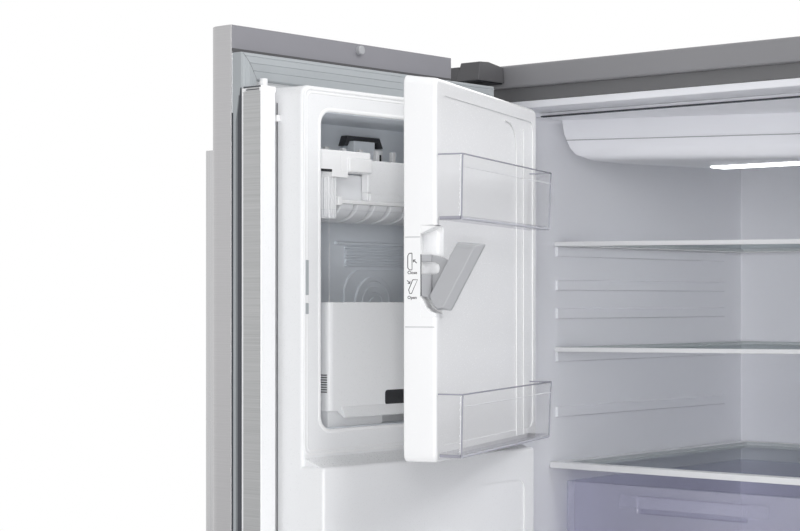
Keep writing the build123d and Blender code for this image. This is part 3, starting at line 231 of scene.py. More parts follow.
def clear(name, face_on, edge_on, shine, gloss=0.04, milk=0.0, passing=(0.99, 0.99, 0.992)):
    made, tree, shader = blank(name)
    shader.inputs["Specular IOR Level"].default_value = 0.8
    broad = noise(tree, 5.0, 2.0)
    shade(tree, broad, shader.inputs["Base Color"], [c * 0.96 for c in milk_colour], milk_colour)
    vary(tree, broad, shader.inputs["Roughness"], gloss, gloss * 1.3)
    sheet = add_node(tree, "BsdfTransparent")
    angle = add_node(tree, "LayerWeight", Blend=0.35)
    shade(tree, angle.outputs["Facing"], sheet.inputs["Color"], face_on, edge_on, 0.64, 1.0)
    mirror = add_node(tree, "BsdfGlossy", Roughness=gloss)
    side = add_node(tree, "NewGeometry")
    outside = add_node(tree, "Math")
    outside.operation = "SUBTRACT"
    outside.inputs[0].default_value = 1.0
    join(side, "Backfacing", outside, 1)
    share = add_node(tree, "Math")
    share.operation = "MULTIPLY"
    join(outside, "Value", share, 0)
    vary(tree, angle.outputs["Facing"], share.inputs[1], 0.02, shine)
    coated = blend(tree, share.outputs["Value"], sheet.outputs["BSDF"], mirror.outputs["BSDF"])
    body = add_node(tree, "MixShader", Fac=milk)
    join(coated, "Shader", body, 1)
    join(shader, "BSDF", body, 2)
    lamp = add_node(tree, "BsdfTransparent", Color=[*passing, 1.0])
    path = add_node(tree, "LightPath")
    either = blend(tree, path.outputs["Is Shadow Ray"], body.outputs["Shader"], lamp.outputs["BSDF"])
    join(either, "Shader", tree.nodes["Material Output"], "Surface")
    return made


clear_bin = clear("clear_bin", (0.998, 0.998, 0.999), (0.80, 0.80, 0.84), 0.05)
clear_window = clear("clear_window", (0.995, 0.996, 0.998), (0.55, 0.58, 0.63), 0.06)
crisper_clear = clear("crisper_clear", (0.90, 0.90, 0.965), (0.50, 0.50, 0.62), 0.12, 0.12, 0.25,
                      passing=(0.90, 0.90, 0.94))
shelf_sheet = clear("shelf_sheet", (0.97, 0.98, 0.98), (0.70, 0.75, 0.75), 0.20)
print("clear finishes ready")

# %% [markdown]
# A solid from CAD has knife edges, and no moulding or bent sheet has those. The next helper copies a solid,
# welds its loose triangles, clears the flat faces of stray edges and rounds every sharp edge by a small bevel
# with hardened normals, so that flats stay flat and edges catch the light. The result stands for the solid.

# %% Helpers for pieces
scene = bpy.context.scene


def place_piece(name, mesh, material):
    mesh.materials.clear()
    mesh.materials.append(material)
    piece = bpy.data.objects.new(name, mesh)
    scene.collection.objects.link(piece)
    return piece


def bake(piece):
    shaped = bpy.data.meshes.new_from_object(piece.evaluated_get(bpy.context.evaluated_depsgraph_get()))
    piece.modifiers.clear()
    old = piece.data
    piece.data = shaped
    bpy.data.meshes.remove(old)
    return piece


def smooth(mesh, angle):
    for face in mesh.polygons:
        face.use_smooth = True
    mesh.set_sharp_from_angle(angle=math.radians(angle))


def round_edges(piece, width, segments=2, angle=35):
    smooth(piece.data, 30)
    bevel = piece.modifiers.new("edges", "BEVEL")
    bevel.width = width / 1000
    bevel.segments = segments
    bevel.limit_method = "ANGLE"
    bevel.angle_limit = math.radians(angle)
    bevel.harden_normals = True
    bevel.use_clamp_overlap = True
    return bake(piece)


def dress(piece, body, slot, *nodes):
    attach(piece, body)
    if nodes:
        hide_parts(*nodes)
    return piece


def welded(node):
    shape = bmesh.new()
    shape.from_mesh(frame["nodes"][node].data)
    bmesh.ops.remove_doubles(shape, verts=shape.verts, dist=1e-6)
    bmesh.ops.dissolve_limit(shape, angle_limit=math.radians(0.4), verts=shape.verts, edges=shape.edges)
    mesh = bpy.data.meshes.new(node + "_soft")
    shape.to_mesh(mesh)
    shape.free()
    if mesh.has_custom_normals:
        mesh.attributes.remove(mesh.attributes["custom_normal"])
    return mesh


def soften(node, width, material, segments=2):
    piece = place_piece(node + "_soft", welded(node), material)
    if width:
        round_edges(piece, width, segments)
    else:
        smooth(piece.data, 30)
    return dress(piece, body_of[node], slot_of[node], node)


print("piece helpers ready")

# %% [markdown]
# Some parts deserve more than a softened solid. A hollow moulding, a seal or a lever is drawn as a stack of closed
# outlines, each one joined to the next by a band of faces, the way a loft works in a drawing program. Plain bars
# and plates are drawn as the hull of their corners and then rounded. `facing` turns an outline to lie on a door.
# Weighted normals keep the broad faces flat to the eye where they meet a small rounding.

# %% Helpers for new shapes
def piece_from(name, shape, material):
    bmesh.ops.recalc_face_normals(shape, faces=shape.faces)
    mesh = bpy.data.meshes.new(name)
    shape.to_mesh(mesh)
    shape.free()
    return place_piece(name, mesh, material)


def facing(place):
    return lambda a, b, depth: place(a, depth, b)


def outline(a0, a1, b0, b1, corner, steps=5):
    if not corner:
        return [(a1, b1), (a0, b1), (a0, b0), (a1, b0)]
    points = []
    for a, b, start in ((a1 - corner, b1 - corner, 0), (a0 + corner, b1 - corner, 90),
                        (a0 + corner, b0 + corner, 180), (a1 - corner, b0 + corner, 270)):
        for i in range(steps + 1):
            angle = math.radians(start + 90 * i / steps)
            points.append((a + corner * math.cos(angle), b + corner * math.sin(angle)))
    return points


def loft(name, loops, material, closed=False, angle=30):
    shape = bmesh.new()
    rings = [[shape.verts.new(point) for point in loop] for loop in loops]
    bands = list(zip(rings, rings[1:]))
    if closed:
        bands.append((rings[-1], rings[0]))
    else:
        shape.faces.new(rings[0])
        shape.faces.new(rings[-1])
    for low, high in bands:
        for i in range(len(low)):
            shape.faces.new((low[i - 1], low[i], high[i], high[i - 1]))
    piece = piece_from(name, shape, material)
    smooth(piece.data, angle)
    even = piece.modifiers.new("even_normals", "WEIGHTED_NORMAL")
    even.keep_sharp = True
    return bake(piece)


def levels(place, rows, steps=5):
    return [[place(a, b, row[5]) for a, b in outline(*row[:5], steps)] for row in rows]


def slab(name, place, points, near, far, width, material):
    piece = loft(name, [[place(a, b, depth) for a, b in points] for depth in (near, far)], material)
    return round_edges(piece, width) if width else piece


def hull(name, points, width, material):
    shape = bmesh.new()
    for point in points:
        shape.verts.new(point)
    bmesh.ops.convex_hull(shape, input=shape.verts)
    bmesh.ops.dissolve_limit(shape, angle_limit=0.02, verts=shape.verts, edges=shape.edges)
    piece = piece_from(name, shape, material)
    return round_edges(piece, width) if width else piece


def block(name, place, low, high, width, material):
    corners = [place(a, b, c) for a in (low[0], high[0]) for b in (low[1], high[1]) for c in (low[2], high[2])]
    return hull(name, corners, width, material)


def turned(name, centre, across, up, along, profile, material, steps=20):
    loops = []
    for radius, height in profile:
        ring = [math.tau * i / steps for i in range(steps)]
        loops.append([centre + (across * math.cos(a) + up * math.sin(a)) * radius / 1000 + along * height / 1000
                      for a in ring])
    return loft(name, loops, material)


print("shape helpers ready")

# %% [markdown]
# Vent slots, louvres, ice cups and screws repeat. A Geometry Nodes tree sets copies of one template along a line
# and that line along a second one, then makes the copies real and gives them their finish. Counts and steps are
# the tree's inputs, so one tree serves every row on the object.

# %% The tree for rows of copies
def grow_rows():
    tree = bpy.data.node_groups.new("rows_of_copies", "GeometryNodeTree")
    for name, kind in (("Template", "NodeSocketObject"), ("Count", "NodeSocketInt"), ("Step", "NodeSocketVector"),
                       ("Rows", "NodeSocketInt"), ("Row Step", "NodeSocketVector"),
                       ("Finish", "NodeSocketMaterial")):
        tree.interface.new_socket(name, in_out="INPUT", socket_type=kind)
    tree.interface.new_socket("Geometry", in_out="OUTPUT", socket_type="NodeSocketGeometry")
    given = tree.nodes.new("NodeGroupInput")
    result = tree.nodes.new("NodeGroupOutput")
    template = tree.nodes.new("GeometryNodeObjectInfo")
    join(given, "Template", template, "Object")
    source = template.outputs["Geometry"]
    for count, step in (("Count", "Step"), ("Rows", "Row Step")):
        line = tree.nodes.new("GeometryNodeMeshLine")
        line.mode = "OFFSET"
        setter = tree.nodes.new("GeometryNodeInstanceOnPoints")
        join(given, count, line, "Count")
        join(given, step, line, "Offset")
        join(line, "Mesh", setter, "Points")
        tree.links.new(source, setter.inputs["Instance"])
        source = setter.outputs["Instances"]
    real = tree.nodes.new("GeometryNodeRealizeInstances")
    coat = tree.nodes.new("GeometryNodeSetMaterial")
    tree.links.new(source, real.inputs["Geometry"])
    join(real, "Geometry", coat, "Geometry")
    join(given, "Finish", coat, "Material")
    join(coat, "Geometry", result, "Geometry")
    return tree


row_tree = grow_rows()


def rows(name, template, count, step, rows_up=1, row_step=(0, 0, 0)):
    material = template.data.materials[0]
    piece = place_piece(name, bpy.data.meshes.new(name), material)
    growth = piece.modifiers.new("rows", "NODES")
    growth.node_group = row_tree
    values = {"Template": template, "Count": count, "Step": Vector(step) / 1000, "Rows": rows_up,
              "Row Step": Vector(row_step) / 1000, "Finish": material}
    for item in row_tree.interface.items_tree:
        if item.in_out == "INPUT":
            growth[item.identifier] = values[item.name]
    bake(piece)
    bpy.data.objects.remove(template)
    return piece


print("row tree has", len(row_tree.nodes), "nodes")

# %% [markdown]
# With the helpers in hand, the cabinet and what is in it are a list. Each row gives an edge radius in millimetres
# that fits how a thing is made, large for thick mouldings, small for folded sheet, then a finish and its solids.

# %% Cabinet pieces
def soften_all(table):
    for width, material, *nodes in table:
        for node in nodes:
            soften(node, width, material)
    return sum(len(nodes) for _, _, *nodes in table)


cabinet_pieces = (
    (2.0, case_paint, "outer_case"), (0.8, frame_paint, "front_frame"), (1.5, trim_paint, "top_trim"),
    (3.0, fridge_lining, "fresh_food_liner"), (3.0, white_liner, "freezer_liner"),
    (0.8, zinc_sheet, "hinge_brackets", "base_frame"), (0, zinc_sheet, "machine_cover"),
    (1.2, white_liner, "shelf_frames"), (0.6, shelf_sheet, "shelf_glass"), (1.0, white_liner, "air_duct_panel"),
    (0, white_liner, "freezer_duct_panel"), (0, charcoal_plastic, "toe_grille"), (0, black_enamel, "compressor"),
    (0, fin_aluminium, "condenser_coil", "evaporator_coil"), (0.5, charcoal_plastic, "condenser_fan"),
    (0, roller_plastic, "left_levelling_foot", "right_levelling_foot"), (0.8, roller_plastic, "rear_rollers"),
    (1.5, crisper_clear, "left_crisper", "right_crisper", "pantry_drawer"),
)
print("cabinet pieces:", soften_all(cabinet_pieces))

# %% [markdown]
# Each top hinge hides under a cover whose front leans back and whose roof falls towards the cabinet. It is the hull of
# ten corners; a lower tail reaches out over the hinge pin, and a dark plate closes the cover from below, its near-black
# colour painted shade of the gap under the cover.

# %% Hinge covers
for name, side in (("left", -1), ("right", 1)):
    roof = [(396, -183, 1738), (430, -183, 1738), (396, -129, 1738), (430, -129, 1738), (396.5, -178, 1761),
            (427, -178, 1761), (397, -160, 1762), (427, -160, 1762), (397, -130, 1757.5), (427, -130, 1757.5)]
    cover = hull(name + "_hinge_cover", [cabinet(side * x, y, z) for x, y, z in roof], 0.8, hinge_plastic)
    dress(cover, "cabinet", "cap_grey", "hinge_covers")
    # The near-black plate under the cover is painted shade of the gap there.
    for part, low, high, material in (("tail", (428, -180, 1738.2), (454, -132, 1756), hinge_plastic),
                                      ("plate", (399, -182, 1736.8), (453, -130, 1738.4), dark_gap)):
        corners = ((side * low[0], *low[1:]), (side * high[0], *high[1:]))
        dress(block(f"{name}_hinge_{part}", cabinet, *corners, 0.4, material), "cabinet", "cap_grey")
print("hinges covered")

# %% [markdown]
# The doors and the freezer drawer are a list too. Skins are thin folded steel, liners are drawn from plastic sheet
# and get a wider edge, and the handles are bars brushed along their length.

# %% Door pieces
door_pieces = (
    (1.2, door_steel, "left_door_skin", "right_door_skin", "freezer_front_skin"),
    (2.5, white_liner, "left_door_liner", "right_door_liner", "freezer_front_liner"),
    (1.2, cap_plastic, "left_door_caps", "right_door_caps"),
    (2.5, bar_steel, "left_door_handle", "right_door_handle"), (2.5, rail_steel, "freezer_handle"),
    (2.0, charcoal_plastic, "dispenser_housing"),
    (1.0, charcoal_plastic, "dispenser_panel", "drip_tray", "dispenser_paddle"),
    (3.0, white_liner, "ice_bucket"), (2.0, white_liner, "freezer_basket"), (1.2, white_liner, "mullion_bar"),
    (0.8, white_gloss, "ice_ejector"), (0.6, latch_plastic, "ice_auger"), (1.0, seal_rubber, "ice_door_gasket"),
    (0.8, zinc_sheet, "freezer_runners"),
)
print("door pieces:", soften_all(door_pieces))

# %% [markdown]
# The door seal is a soft extrusion welded at the corners with mitres: a magnet tube, and beside it a broad lip
# that falls away to the liner. One profile, given as (distance in from the rim, height), is run round the rim, so
# the mitres come by themselves. Shallow grooves in its face make the fine lines that run along it, a dark strip
# between it and the door's cap is painted shadow under the cap's edge, and a thin crease marks the mitre that the
# open door shows.

# %% Door seals
tube = ((0, 0), (0, 12.8), (1.2, 14.8), (3.4, 15.2), (4.0, 14.6), (4.6, 15.2), (10.4, 15.2), (11.0, 14.4),
        (11.6, 14.8))
wide_foot = ((18.0, 12.8), (18.6, 12.0), (19.2, 12.4), (26.4, 9.8), (27.5, 8.4), (27.5, 0))
short_foot = ((14.5, 13.4), (16, 12), (16, 0))


def seal(node, place, box, profile):
    a0, a1, b0, b1 = box
    runs = [(a0 + inset, a1 - inset, b0 + inset, b1 - inset, 0, height) for inset, height in profile]
    piece = loft(node + "_run", levels(facing(place), runs), seal_rubber, True)
    return dress(piece, body_of[node], slot_of[node], node)


crest = ((1.2, 14.9), (3.4, 15.3), (10.4, 15.3), (18, 12.9), (26.4, 9.9), (27.4, 8.6))
for side, place in (("left", left), ("right", right)):
    seal(side + "_door_gasket", place, (2, 436, 758, 1730), tube + wide_foot)
    # The dark strip under the cap is painted shadow of the cap's lower edge on the seal.
    cap_shadow = block(side + "_cap_seam", place, (1.4, -2, 1729.6), (369, 0.5, 1735), 0.2, hinge_plastic)
    crease = [place(2 + i + o, h - deep, 1730 - i) for i, h in crest for o in (-0.3, 0.3) for deep in (0, 1.5)]
    for piece in (cap_shadow, hull(side + "_mitre", crease, 0, roller_plastic)):
        dress(piece, side + "_door", "seal_grey")
seal("freezer_gasket", lambda x, v, z: cabinet(x, v - 135, z), (-432, 432, 116, 720), tube + short_foot)
ahead, aside, upright = Vector((1, 0, 0)), Vector((0, 1, 0)), Vector((0, 0, 1))
plug = ((0.1, 5.0), (4.4, 5.0), (5.2, 4.3), (5.4, 0), (5.4, -2), (0.1, -2))
dress(turned("cap_plug", left(203, 0, 1752.5), aside, upright, ahead, plug, latch_plastic), "left_door", "cap_grey")
print("seals run round three openings")

# %% [markdown]
# The mullion closes the gap between the two doors. Its steel face ends under a white cap with two dark joints, and
# a round-headed guide pin on top runs in a cam under the cabinet's ceiling and folds the bar as the door shuts. A
# dark strip on the liner where the folded bar comes to rest is painted shade of the gap beside the bar, and dark
# strips on the seal are painted shade, cast by the bar and in the gap at the skin's edge. `end_on` gives a point on
# the left door as seen on its free edge.

# %% Mullion details
def end_on(v, z, s):
    return left(s, v, z)


gap_shade = moulded("gap_shade", (0.060, 0.064, 0.075), 0.6, 0.1)
soft_shade = moulded("soft_shade", (0.22, 0.235, 0.245), 0.6, 0.1)
# The dark strip on the liner where the bar comes to rest is painted shade of the gap beside the folded bar.
for name, low, high, width, material, body, slot in (
        ("mullion_end_cap", (0.5, 24, 1686), (23.5, 43.8, 1692.6), 1.0, white_gloss, "mullion", "liner_white"),
        ("mullion_cap_face", (0.3, 24, 1684), (1.0, 41.4, 1690.6), 0, plate_steel, "mullion", "steel_brushed"),
        ("mullion_cap_line", (0.2, 18, 1690.6), (1.0, 43.4, 1692.2), 0, gap_shade, "mullion", "steel_brushed"),
        ("mullion_face_line", (0.2, 22, 1688), (1.0, 41.5, 1689), 0, gap_shade, "mullion", "steel_brushed"),
        ("mullion_bumper", (29.5, 38.4, 828), (30.1, 39.6, 1676), 0, gap_shade, "left_door", "seal_grey"),
        ("mullion_stop", (24.5, 39, 1656), (30, 44.6, 1663), 0.8, white_gloss, "left_door", "liner_white"),
        ("mullion_lip", (0.4, 15.5, 826), (9, 19.3, 1690.4), 0.5, white_gloss, "mullion", "liner_white")):
    dress(block(name, left, low, high, width, material), body, slot)
# The dark strips on the seal are painted shade: cast by the bar, and in the gap at the skin's edge.
shadow = ((8.4, 824), (13.4, 824), (13.4, 1692), (12.6, 1692), (8.4, 1664))
half_shadow = [(v - 3, z - 8) for v, z in shadow]
edge_line = ((-0.4, 824), (0.9, 824), (0.9, 1666), (-0.4, 1666))
for name, points, front, material in (("seal_shadow", shadow, 1.2, gap_shade),
                                      ("seal_half_shadow", half_shadow, 1.5, soft_shade),
                                      ("seal_edge_line", edge_line, 1.2, gap_shade)):
    dress(slab(name, end_on, points, front, 2.2, 0, material), "left_door", "seal_grey")
dress(block("mullion_face", left, (0.1, 18.2, 824), (0.9, 42.8, 1686.5), 0, plate_steel), "mullion", "steel_brushed",
      "mullion_plate")
dome = [math.radians(a) for a in range(75, -61, -15)]
head = [(0.1, 14.2)] + [(4.3 * math.cos(a), 10 + 4.3 * math.sin(a)) for a in dome]
head += [(2.6, 6), (3.4, 4), (3.4, -3), (0.1, -3)]
dress(turned("guide_pin_head", left(12, 36.2, 1686.2), ahead, aside, upright, head, white_gloss, 24), "mullion",
      "liner_white")
print("mullion dressed")

# %% [markdown]
# The white liner of the door is one vacuum-formed sheet. Where it turns round the ice frame it is drawn into
# beads that stiffen it: one runs just inside the frame's rim, one round the mouth of the compartment. The bead is
# a ring with a rounded ridge, pressed flat on the hinge side, where the seal of the shut ice door lies. Opposite the
# latch are two keeper slots that take its tongue; two grey plates in them are painted shade inside the slots.

# %% Beads and keepers on the ice frame
def on_liner(piece):
    return dress(piece, "left_door", "liner_white")


frame_face = 76


def bead(name, box, corner, inset, wide, high, material):
    a0, a1, b0, b1 = box
    ridge = ((0, -0.6), (0, 0.3 * high), (0.18 * wide, 0.8 * high), (0.5 * wide, high), (0.82 * wide, 0.8 * high),
             (wide, 0.3 * high), (wide, -0.6))
    runs = [(a0 + inset + i, a1 - inset - i, b0 + inset + i, b1 - inset - i, max(corner - inset - i, 1), frame_face + v)
            for i, v in ridge]
    return on_liner(loft(name, levels(facing(left), runs, 6), material, True, 50))


bead("frame_bead", (30, 396.5, 1301, 1693.5), 12, 2.0, 3.2, 0.8, white_gloss)
bead("frame_inner_bead", (30, 396.5, 1301, 1693.5), 14, 6.4, 2.2, 0.45, white_gloss)
mouth_bead = bead("mouth_bead", (58, 368.5, 1330, 1667.5), 14.5, -4.2, 4.0, 0.9, white_gloss)
hinge_side, under_seal = (360 - free_edge) / 1000, left(0, frame_face + 0.15, 0).x
for vert in mouth_bead.data.vertices:
    if vert.co.y > hinge_side:
        vert.co.x = min(vert.co.x, under_seal)
# The two grey plates are painted shade inside the keeper slots.
for name, low, high in (("upper_keeper", 1472.5, 1509.3), ("lower_keeper", 1452.6, 1464.1)):
    on_liner(block(name, left, (33.6, 75, low), (38.4, 77, high), 0.3, seal_rubber))
print("ice frame beaded")

# %% [markdown]
# The ice compartment is lined in a cool blue-grey. A thin tub sits inside the liner's pocket. On its back wall the
# cold air comes out through seven louvres under a rail, and a raised plate carries the round cover of the fan.

# %% Compartment lining
mouth = (58.1, 368.4, 1330.1, 1667.4)
skin = (58.9, 367.6, 1330.9, 1666.6)
runs = [(*mouth, 11, -17.9), (*mouth, 11, 74), (*skin, 10.2, 74), (*skin, 10.2, -17.1)]
on_liner(loft("compartment_tub", levels(facing(left), runs, 6), cool_lining))
on_liner(block("wall_rail", left, (180, -17.6, 1530.4), (364, -12, 1533.6), 0.8, cool_lining))
louvre = block("louvre", left, (197, -17.6, 1506), (352, -14.6, 1508.0), 0.5, cool_lining)
on_liner(rows("wall_louvres", louvre, 7, (0, 0, 3.4)))
fan_plate = outline(195, 356, 1400, 1502, 28, 8)
on_liner(slab("fan_plate", facing(left), fan_plate, -17.6, -14.8, 0.8, cool_lining))
rings = ((0.1, 2.6), (8, 2.6), (8.6, 1.6), (14, 1.6), (14.6, 2.4), (21, 2.4), (21.6, 1.6), (27, 1.6), (27.8, 2.8),
         (32, 2.8), (33, 2.2), (33, -1), (0.1, -1))
on_liner(turned("fan_cover", left(244, -15.2, 1462), aside, upright, ahead, rings, cool_lining, 40))
print("compartment lined")

# %% [markdown]
# The ice maker hangs under the compartment's roof: a white control head, a long mould with its front skirt, and
# under the rim seven half-round cups, the shape that lets a turned comb push crescent cubes out. The cups are one
# template repeated along the mould.

# %% Ice maker
def maker(name, low, high, width, material, *nodes):
    return dress(block(name, left, low, high, width, material), "left_door", "liner_white", *nodes)


for node, low, high in (("ice_maker_control_box", (60, -16.5, 1606), (108, 60, 1629.5)),
                        ("ice_maker_tray", (109, -16.5, 1572), (332, 57, 1576.8))):
    maker(node + "_body", low, high, 1.4, white_gloss, node)
maker("head_front", (107, 43, 1606), (156, 60, 1629.5), 1.6, white_gloss)
maker("head_box", (118.5, 50, 1606.6), (155.5, 62.6, 1622), 1.2, white_gloss)
maker("head_tab", (93, 46, 1600), (118.5, 60.4, 1607), 1.0, white_gloss)
# The dark strip on the head is painted shade in its slot.
maker("head_slot", (74, 58, 1605.6), (92.5, 60.5, 1608.2), 0.3, dark_gap)
maker("side_bracket", (82, 20, 1555), (105, 55, 1606.5), 1.5, white_liner)
rib = block("rib", left, (83.5, 54, 1557), (86, 57.5, 1600), 0.6, white_liner)
on_liner(rows("bracket_ribs", rib, 4, (0, 5.6, 0)))
maker("mould_body", (110, -16, 1576.5), (332, 43, 1597), 1.0, tray_plastic)
maker("mould_front", (157, 42.5, 1576.5), (332, 54, 1622), 1.6, white_liner)
maker("mould_step", (160, 50, 1576.5), (332, 55.6, 1584.6), 0.8, white_liner)
maker("mould_ridge", (154, 48, 1586), (160, 57.2, 1622), 1.0, white_liner)
maker("mould_end", (110, 42.5, 1576.5), (157, 46, 1605), 1.0, tray_plastic)
maker("mould_peg", (105.5, 49, 1570), (112, 58, 1580), 1.2, white_gloss)
half = [(20 + 33 * math.cos(math.radians(a)), 1573 - 20 * math.sin(math.radians(a))) for a in range(0, 181, 15)]
cup = slab("cup", end_on, half, 114, 136, 1.6, tray_plastic)
dress(rows("mould_cups", cup, 7, (0, 28, 0)), "left_door", "latch_grey")
maker("sensor_box", (193, -16, 1597), (229, 1.5, 1649), 1.2, cool_lining)
maker("sensor_column", (229, -16, 1597), (243, 1.5, 1641), 1.0, tray_plastic)
maker("sensor_plug", (233, 1, 1626.5), (239.5, 2.0, 1635), 0.2, dark_gap)
arch = ((176, 1642), (181, 1654), (237, 1654), (243, 1642), (237, 1642), (233, 1648.6), (186, 1648.6), (182, 1642))
dress(slab("sensor_arch", facing(left), arch, -8, 1.8, 0.8, charcoal_plastic), "left_door", "charcoal")
print("ice maker hung")

# %% [markdown]
# The bucket is a white tub with a clear top. Near its front corner eight narrow vents are moulded through the side
# wall and a hand grip is let into the front; dark strips in the vents and a dark plate in the grip are painted shade
# inside these openings. A sloping lip at the foot keeps chips of ice off the sill.

# %% Ice bucket details
# The dark strips are painted shade in the vent slots.
vent = block("vent", left, (77.6, 51, 1368), (78.25, 66, 1369.2), 0, hinge_plastic)
on_liner(rows("bucket_vents", vent, 8, (0, 0, 2.6)))
# The dark plate is painted shade in the grip's hollow.
grip_shade = outline(168, 262, 1351.5, 1368, 4)
dress(slab("bucket_grip", facing(left), grip_shade, 66, 70.3, 0.3, charcoal_plastic), "left_door", "charcoal")
lip = ((62, 1352), (70.4, 1352.4), (75.2, 1341.6), (73.6, 1340.4), (62, 1348))
on_liner(slab("bucket_lip", end_on, lip, 97, 352, 0.5, white_liner))
print("bucket dressed")

# %% [markdown]
# The ice door is a foamed white shell. Its top falls a little towards the room, so the copy of the solid is sheared
# there. Two hair lines on its free edge show where the latch pocket's insert meets the shell.

# %% Ice door shell
def on_ice_door(point):
    dx, dy = point.x * 1000 - hinge_x, point.y * 1000 - hinge_y
    along, across = math.cos(ajar) * dy - math.sin(ajar) * dx, math.cos(ajar) * dx + math.sin(ajar) * dy
    return along + hinge_s, across + hinge_v


outer_face, thickness, fall, under_top = 113, 35.5, 4.5, 1680
shell = soften("ice_door_shell", 2.0, white_gloss, 3)
for vert in shell.data.vertices:
    s, v = on_ice_door(vert.co)
    if vert.co.z > under_top / 1000 and s < 360:
        vert.co.z += fall / 1000 * (outer_face - v) / thickness
for name, z, far in (("lower_seam", 1440, 111), ("upper_seam", 1531, 95.6)):
    dress(block(name, ice, (29.9, 79.5, z - 0.4), (30.6, far, z + 0.4), 0, latch_plastic), "ice_door", "liner_white")
print("ice door shell has", len(shell.data.polygons), "faces")

# %% [markdown]
# The latch is a grey lever in a scooped pocket of the ice door. The pocket's back is a hollow curve, so it shades
# softly from grey to white. The lever swings on a bracket whose two arms leave a hole for the tongue. The lever's
# outer edge is bevelled for the thumb and a raised rib runs along its top.

# %% Ice door latch
def edge_on(v, z, s):
    return ice(s, v, z)


def leaning(v, z, depth):
    return ice(33 + 1.13 * (v - 96) + depth, v, z)


quarter = [math.radians(10 * i) for i in range(10)]
scoop = [(54.5, 95.5)] + [(38 + 15.8 * math.sin(a), 112.6 - 16.4 * math.cos(a)) for a in quarter]
dress(slab("latch_scoop", ice, scoop, 1451, 1542, 0, white_liner), "ice_door", "liner_white")
for name, points in (("scoop_top", ((95.8, 1543.2), (95.8, 1534), (112.8, 1542.4))),
                     ("scoop_foot", ((95.8, 1449.8), (95.8, 1470.5), (98.6, 1467), (102, 1459.6), (107, 1455.6),
                                     (112.8, 1453.6), (112.8, 1449.8)))):
    dress(slab(name, edge_on, points, 30.4, 54, 0.6, white_gloss), "ice_door", "liner_white")
bracket = ((102.6, 1513.4), (110, 1512), (118, 1508.5), (124, 1503), (124, 1470), (117, 1458.5), (110, 1461),
           (102.6, 1468), (102.6, 1493.7), (107, 1493.7), (110, 1495.5), (111.2, 1499.5), (110, 1503.5), (106, 1505.7),
           (102.6, 1506.2))
dress(slab("latch_bracket", edge_on, bracket, 46, 50.5, 0.6, latch_plastic), "ice_door", "latch_grey", "ice_latch_base")
for name, points in (("latch_arm", ((96, 1506.6), (103.4, 1506), (103.4, 1513.4), (96, 1513.3))),
                     ("latch_cheek", ((96, 1471), (100, 1470), (103.4, 1467), (103.4, 1493.7), (96, 1493.7)))):
    dress(slab(name, leaning, points, 0, 4.5, 0.6, latch_plastic), "ice_door", "latch_grey")
# The dark strip at the pocket's corner is painted shade in the gap beside the bracket.
dress(block("latch_edge_line", ice, (30.1, 95.5, 1471), (32.4, 96.3, 1513.5), 0, gap_shade), "ice_door", "latch_grey")
back_edge = ((102.8, 1471.5), (105, 1464.5), (109.4, 1457.6), (124.4, 1456.5), (161, 1523.4), (131.6, 1526))
front_edge = ((104.2, 1472), (106.2, 1465.6), (110.4, 1459.6), (118, 1459.2), (152.6, 1521.8), (133, 1524.3))
lever_loops = [[edge_on(v, z, s) for v, z in points]
               for points, s in ((back_edge, 45.2), (back_edge, 42), (front_edge, 34.8))]
lever = round_edges(loft("latch_lever", lever_loops, latch_plastic), 1.0, 3)
dress(lever, "ice_latch", "latch_grey", "ice_latch_lever")
rib_line = ((132.4, 1520.6), (150, 1519.4), (151, 1521.4), (133, 1523))
dress(slab("latch_rib", edge_on, rib_line, 34.2, 36, 0.3, latch_plastic), "ice_latch", "latch_grey")
pivot = ((0.1, -1.2), (3.6, -1.2), (4.2, -0.6), (4.2, 14), (0.1, 14))
reach = ice(0, 1000, 0) - ice(0, 0, 0)
inward = ice(1000, 0, 0) - ice(0, 0, 0)
pin = turned("latch_pivot", ice(35.8, 114, 1465), reach, upright, inward, pivot, latch_plastic)
dress(pin, "ice_latch", "latch_grey")
print("latch built")

# %% [markdown]
# Beside the latch two small pictograms are printed: a shut door and a door ajar, each with an arrow and one word.
# The strokes are thin tubes pressed flat on the edge of the door, and the words are type made into mesh.

# %% Pictograms
ink = moulded("print_ink", (0.022, 0.022, 0.026), 0.5, 0.1)


def pressed(name, curve):
    holder = bpy.data.objects.new(name, curve)
    scene.collection.objects.link(holder)
    mesh = bpy.data.meshes.new_from_object(holder.evaluated_get(bpy.context.evaluated_depsgraph_get()))
    bpy.data.objects.remove(holder)
    return mesh


def put_on_edge(name, mesh):
    for vert in mesh.vertices:
        vert.co = ice(29.93 - 0.3 * vert.co.z, vert.co.x, vert.co.y)
    return dress(place_piece(name, mesh, ink), "ice_door", "liner_white")


def drawn(name, lines, radius, roundness):
    curve = bpy.data.curves.new(name, "CURVE")
    curve.dimensions = "3D"
    curve.bevel_depth = radius
    curve.bevel_resolution = roundness
    curve.use_fill_caps = True
    for line in lines:
        run = curve.splines.new("POLY")
        run.points.add(len(line) - 1)
        for point, place in zip(run.points, line):
            point.co = (*place, 1)
    return pressed(name, curve)


def strokes(name, lines, wide):
    flat = [[(v, z, 0) for v, z in line] for line in lines]
    return put_on_edge(name, drawn(name, flat, wide / 2, 1))


def word(name, text, v0, v1, z0):
    curve = bpy.data.curves.new(name, "FONT")
    curve.body = text
    curve.extrude = 0.01
    curve.offset = 0.02
    mesh = pressed(name, curve)
    low = min(vert.co.x for vert in mesh.vertices)
    scale = (v1 - v0) / (max(vert.co.x for vert in mesh.vertices) - low)
    for vert in mesh.vertices:
        vert.co = Vector((v0 + (vert.co.x - low) * scale, z0 + vert.co.y * scale, vert.co.z * 8))
    return put_on_edge(name, mesh)


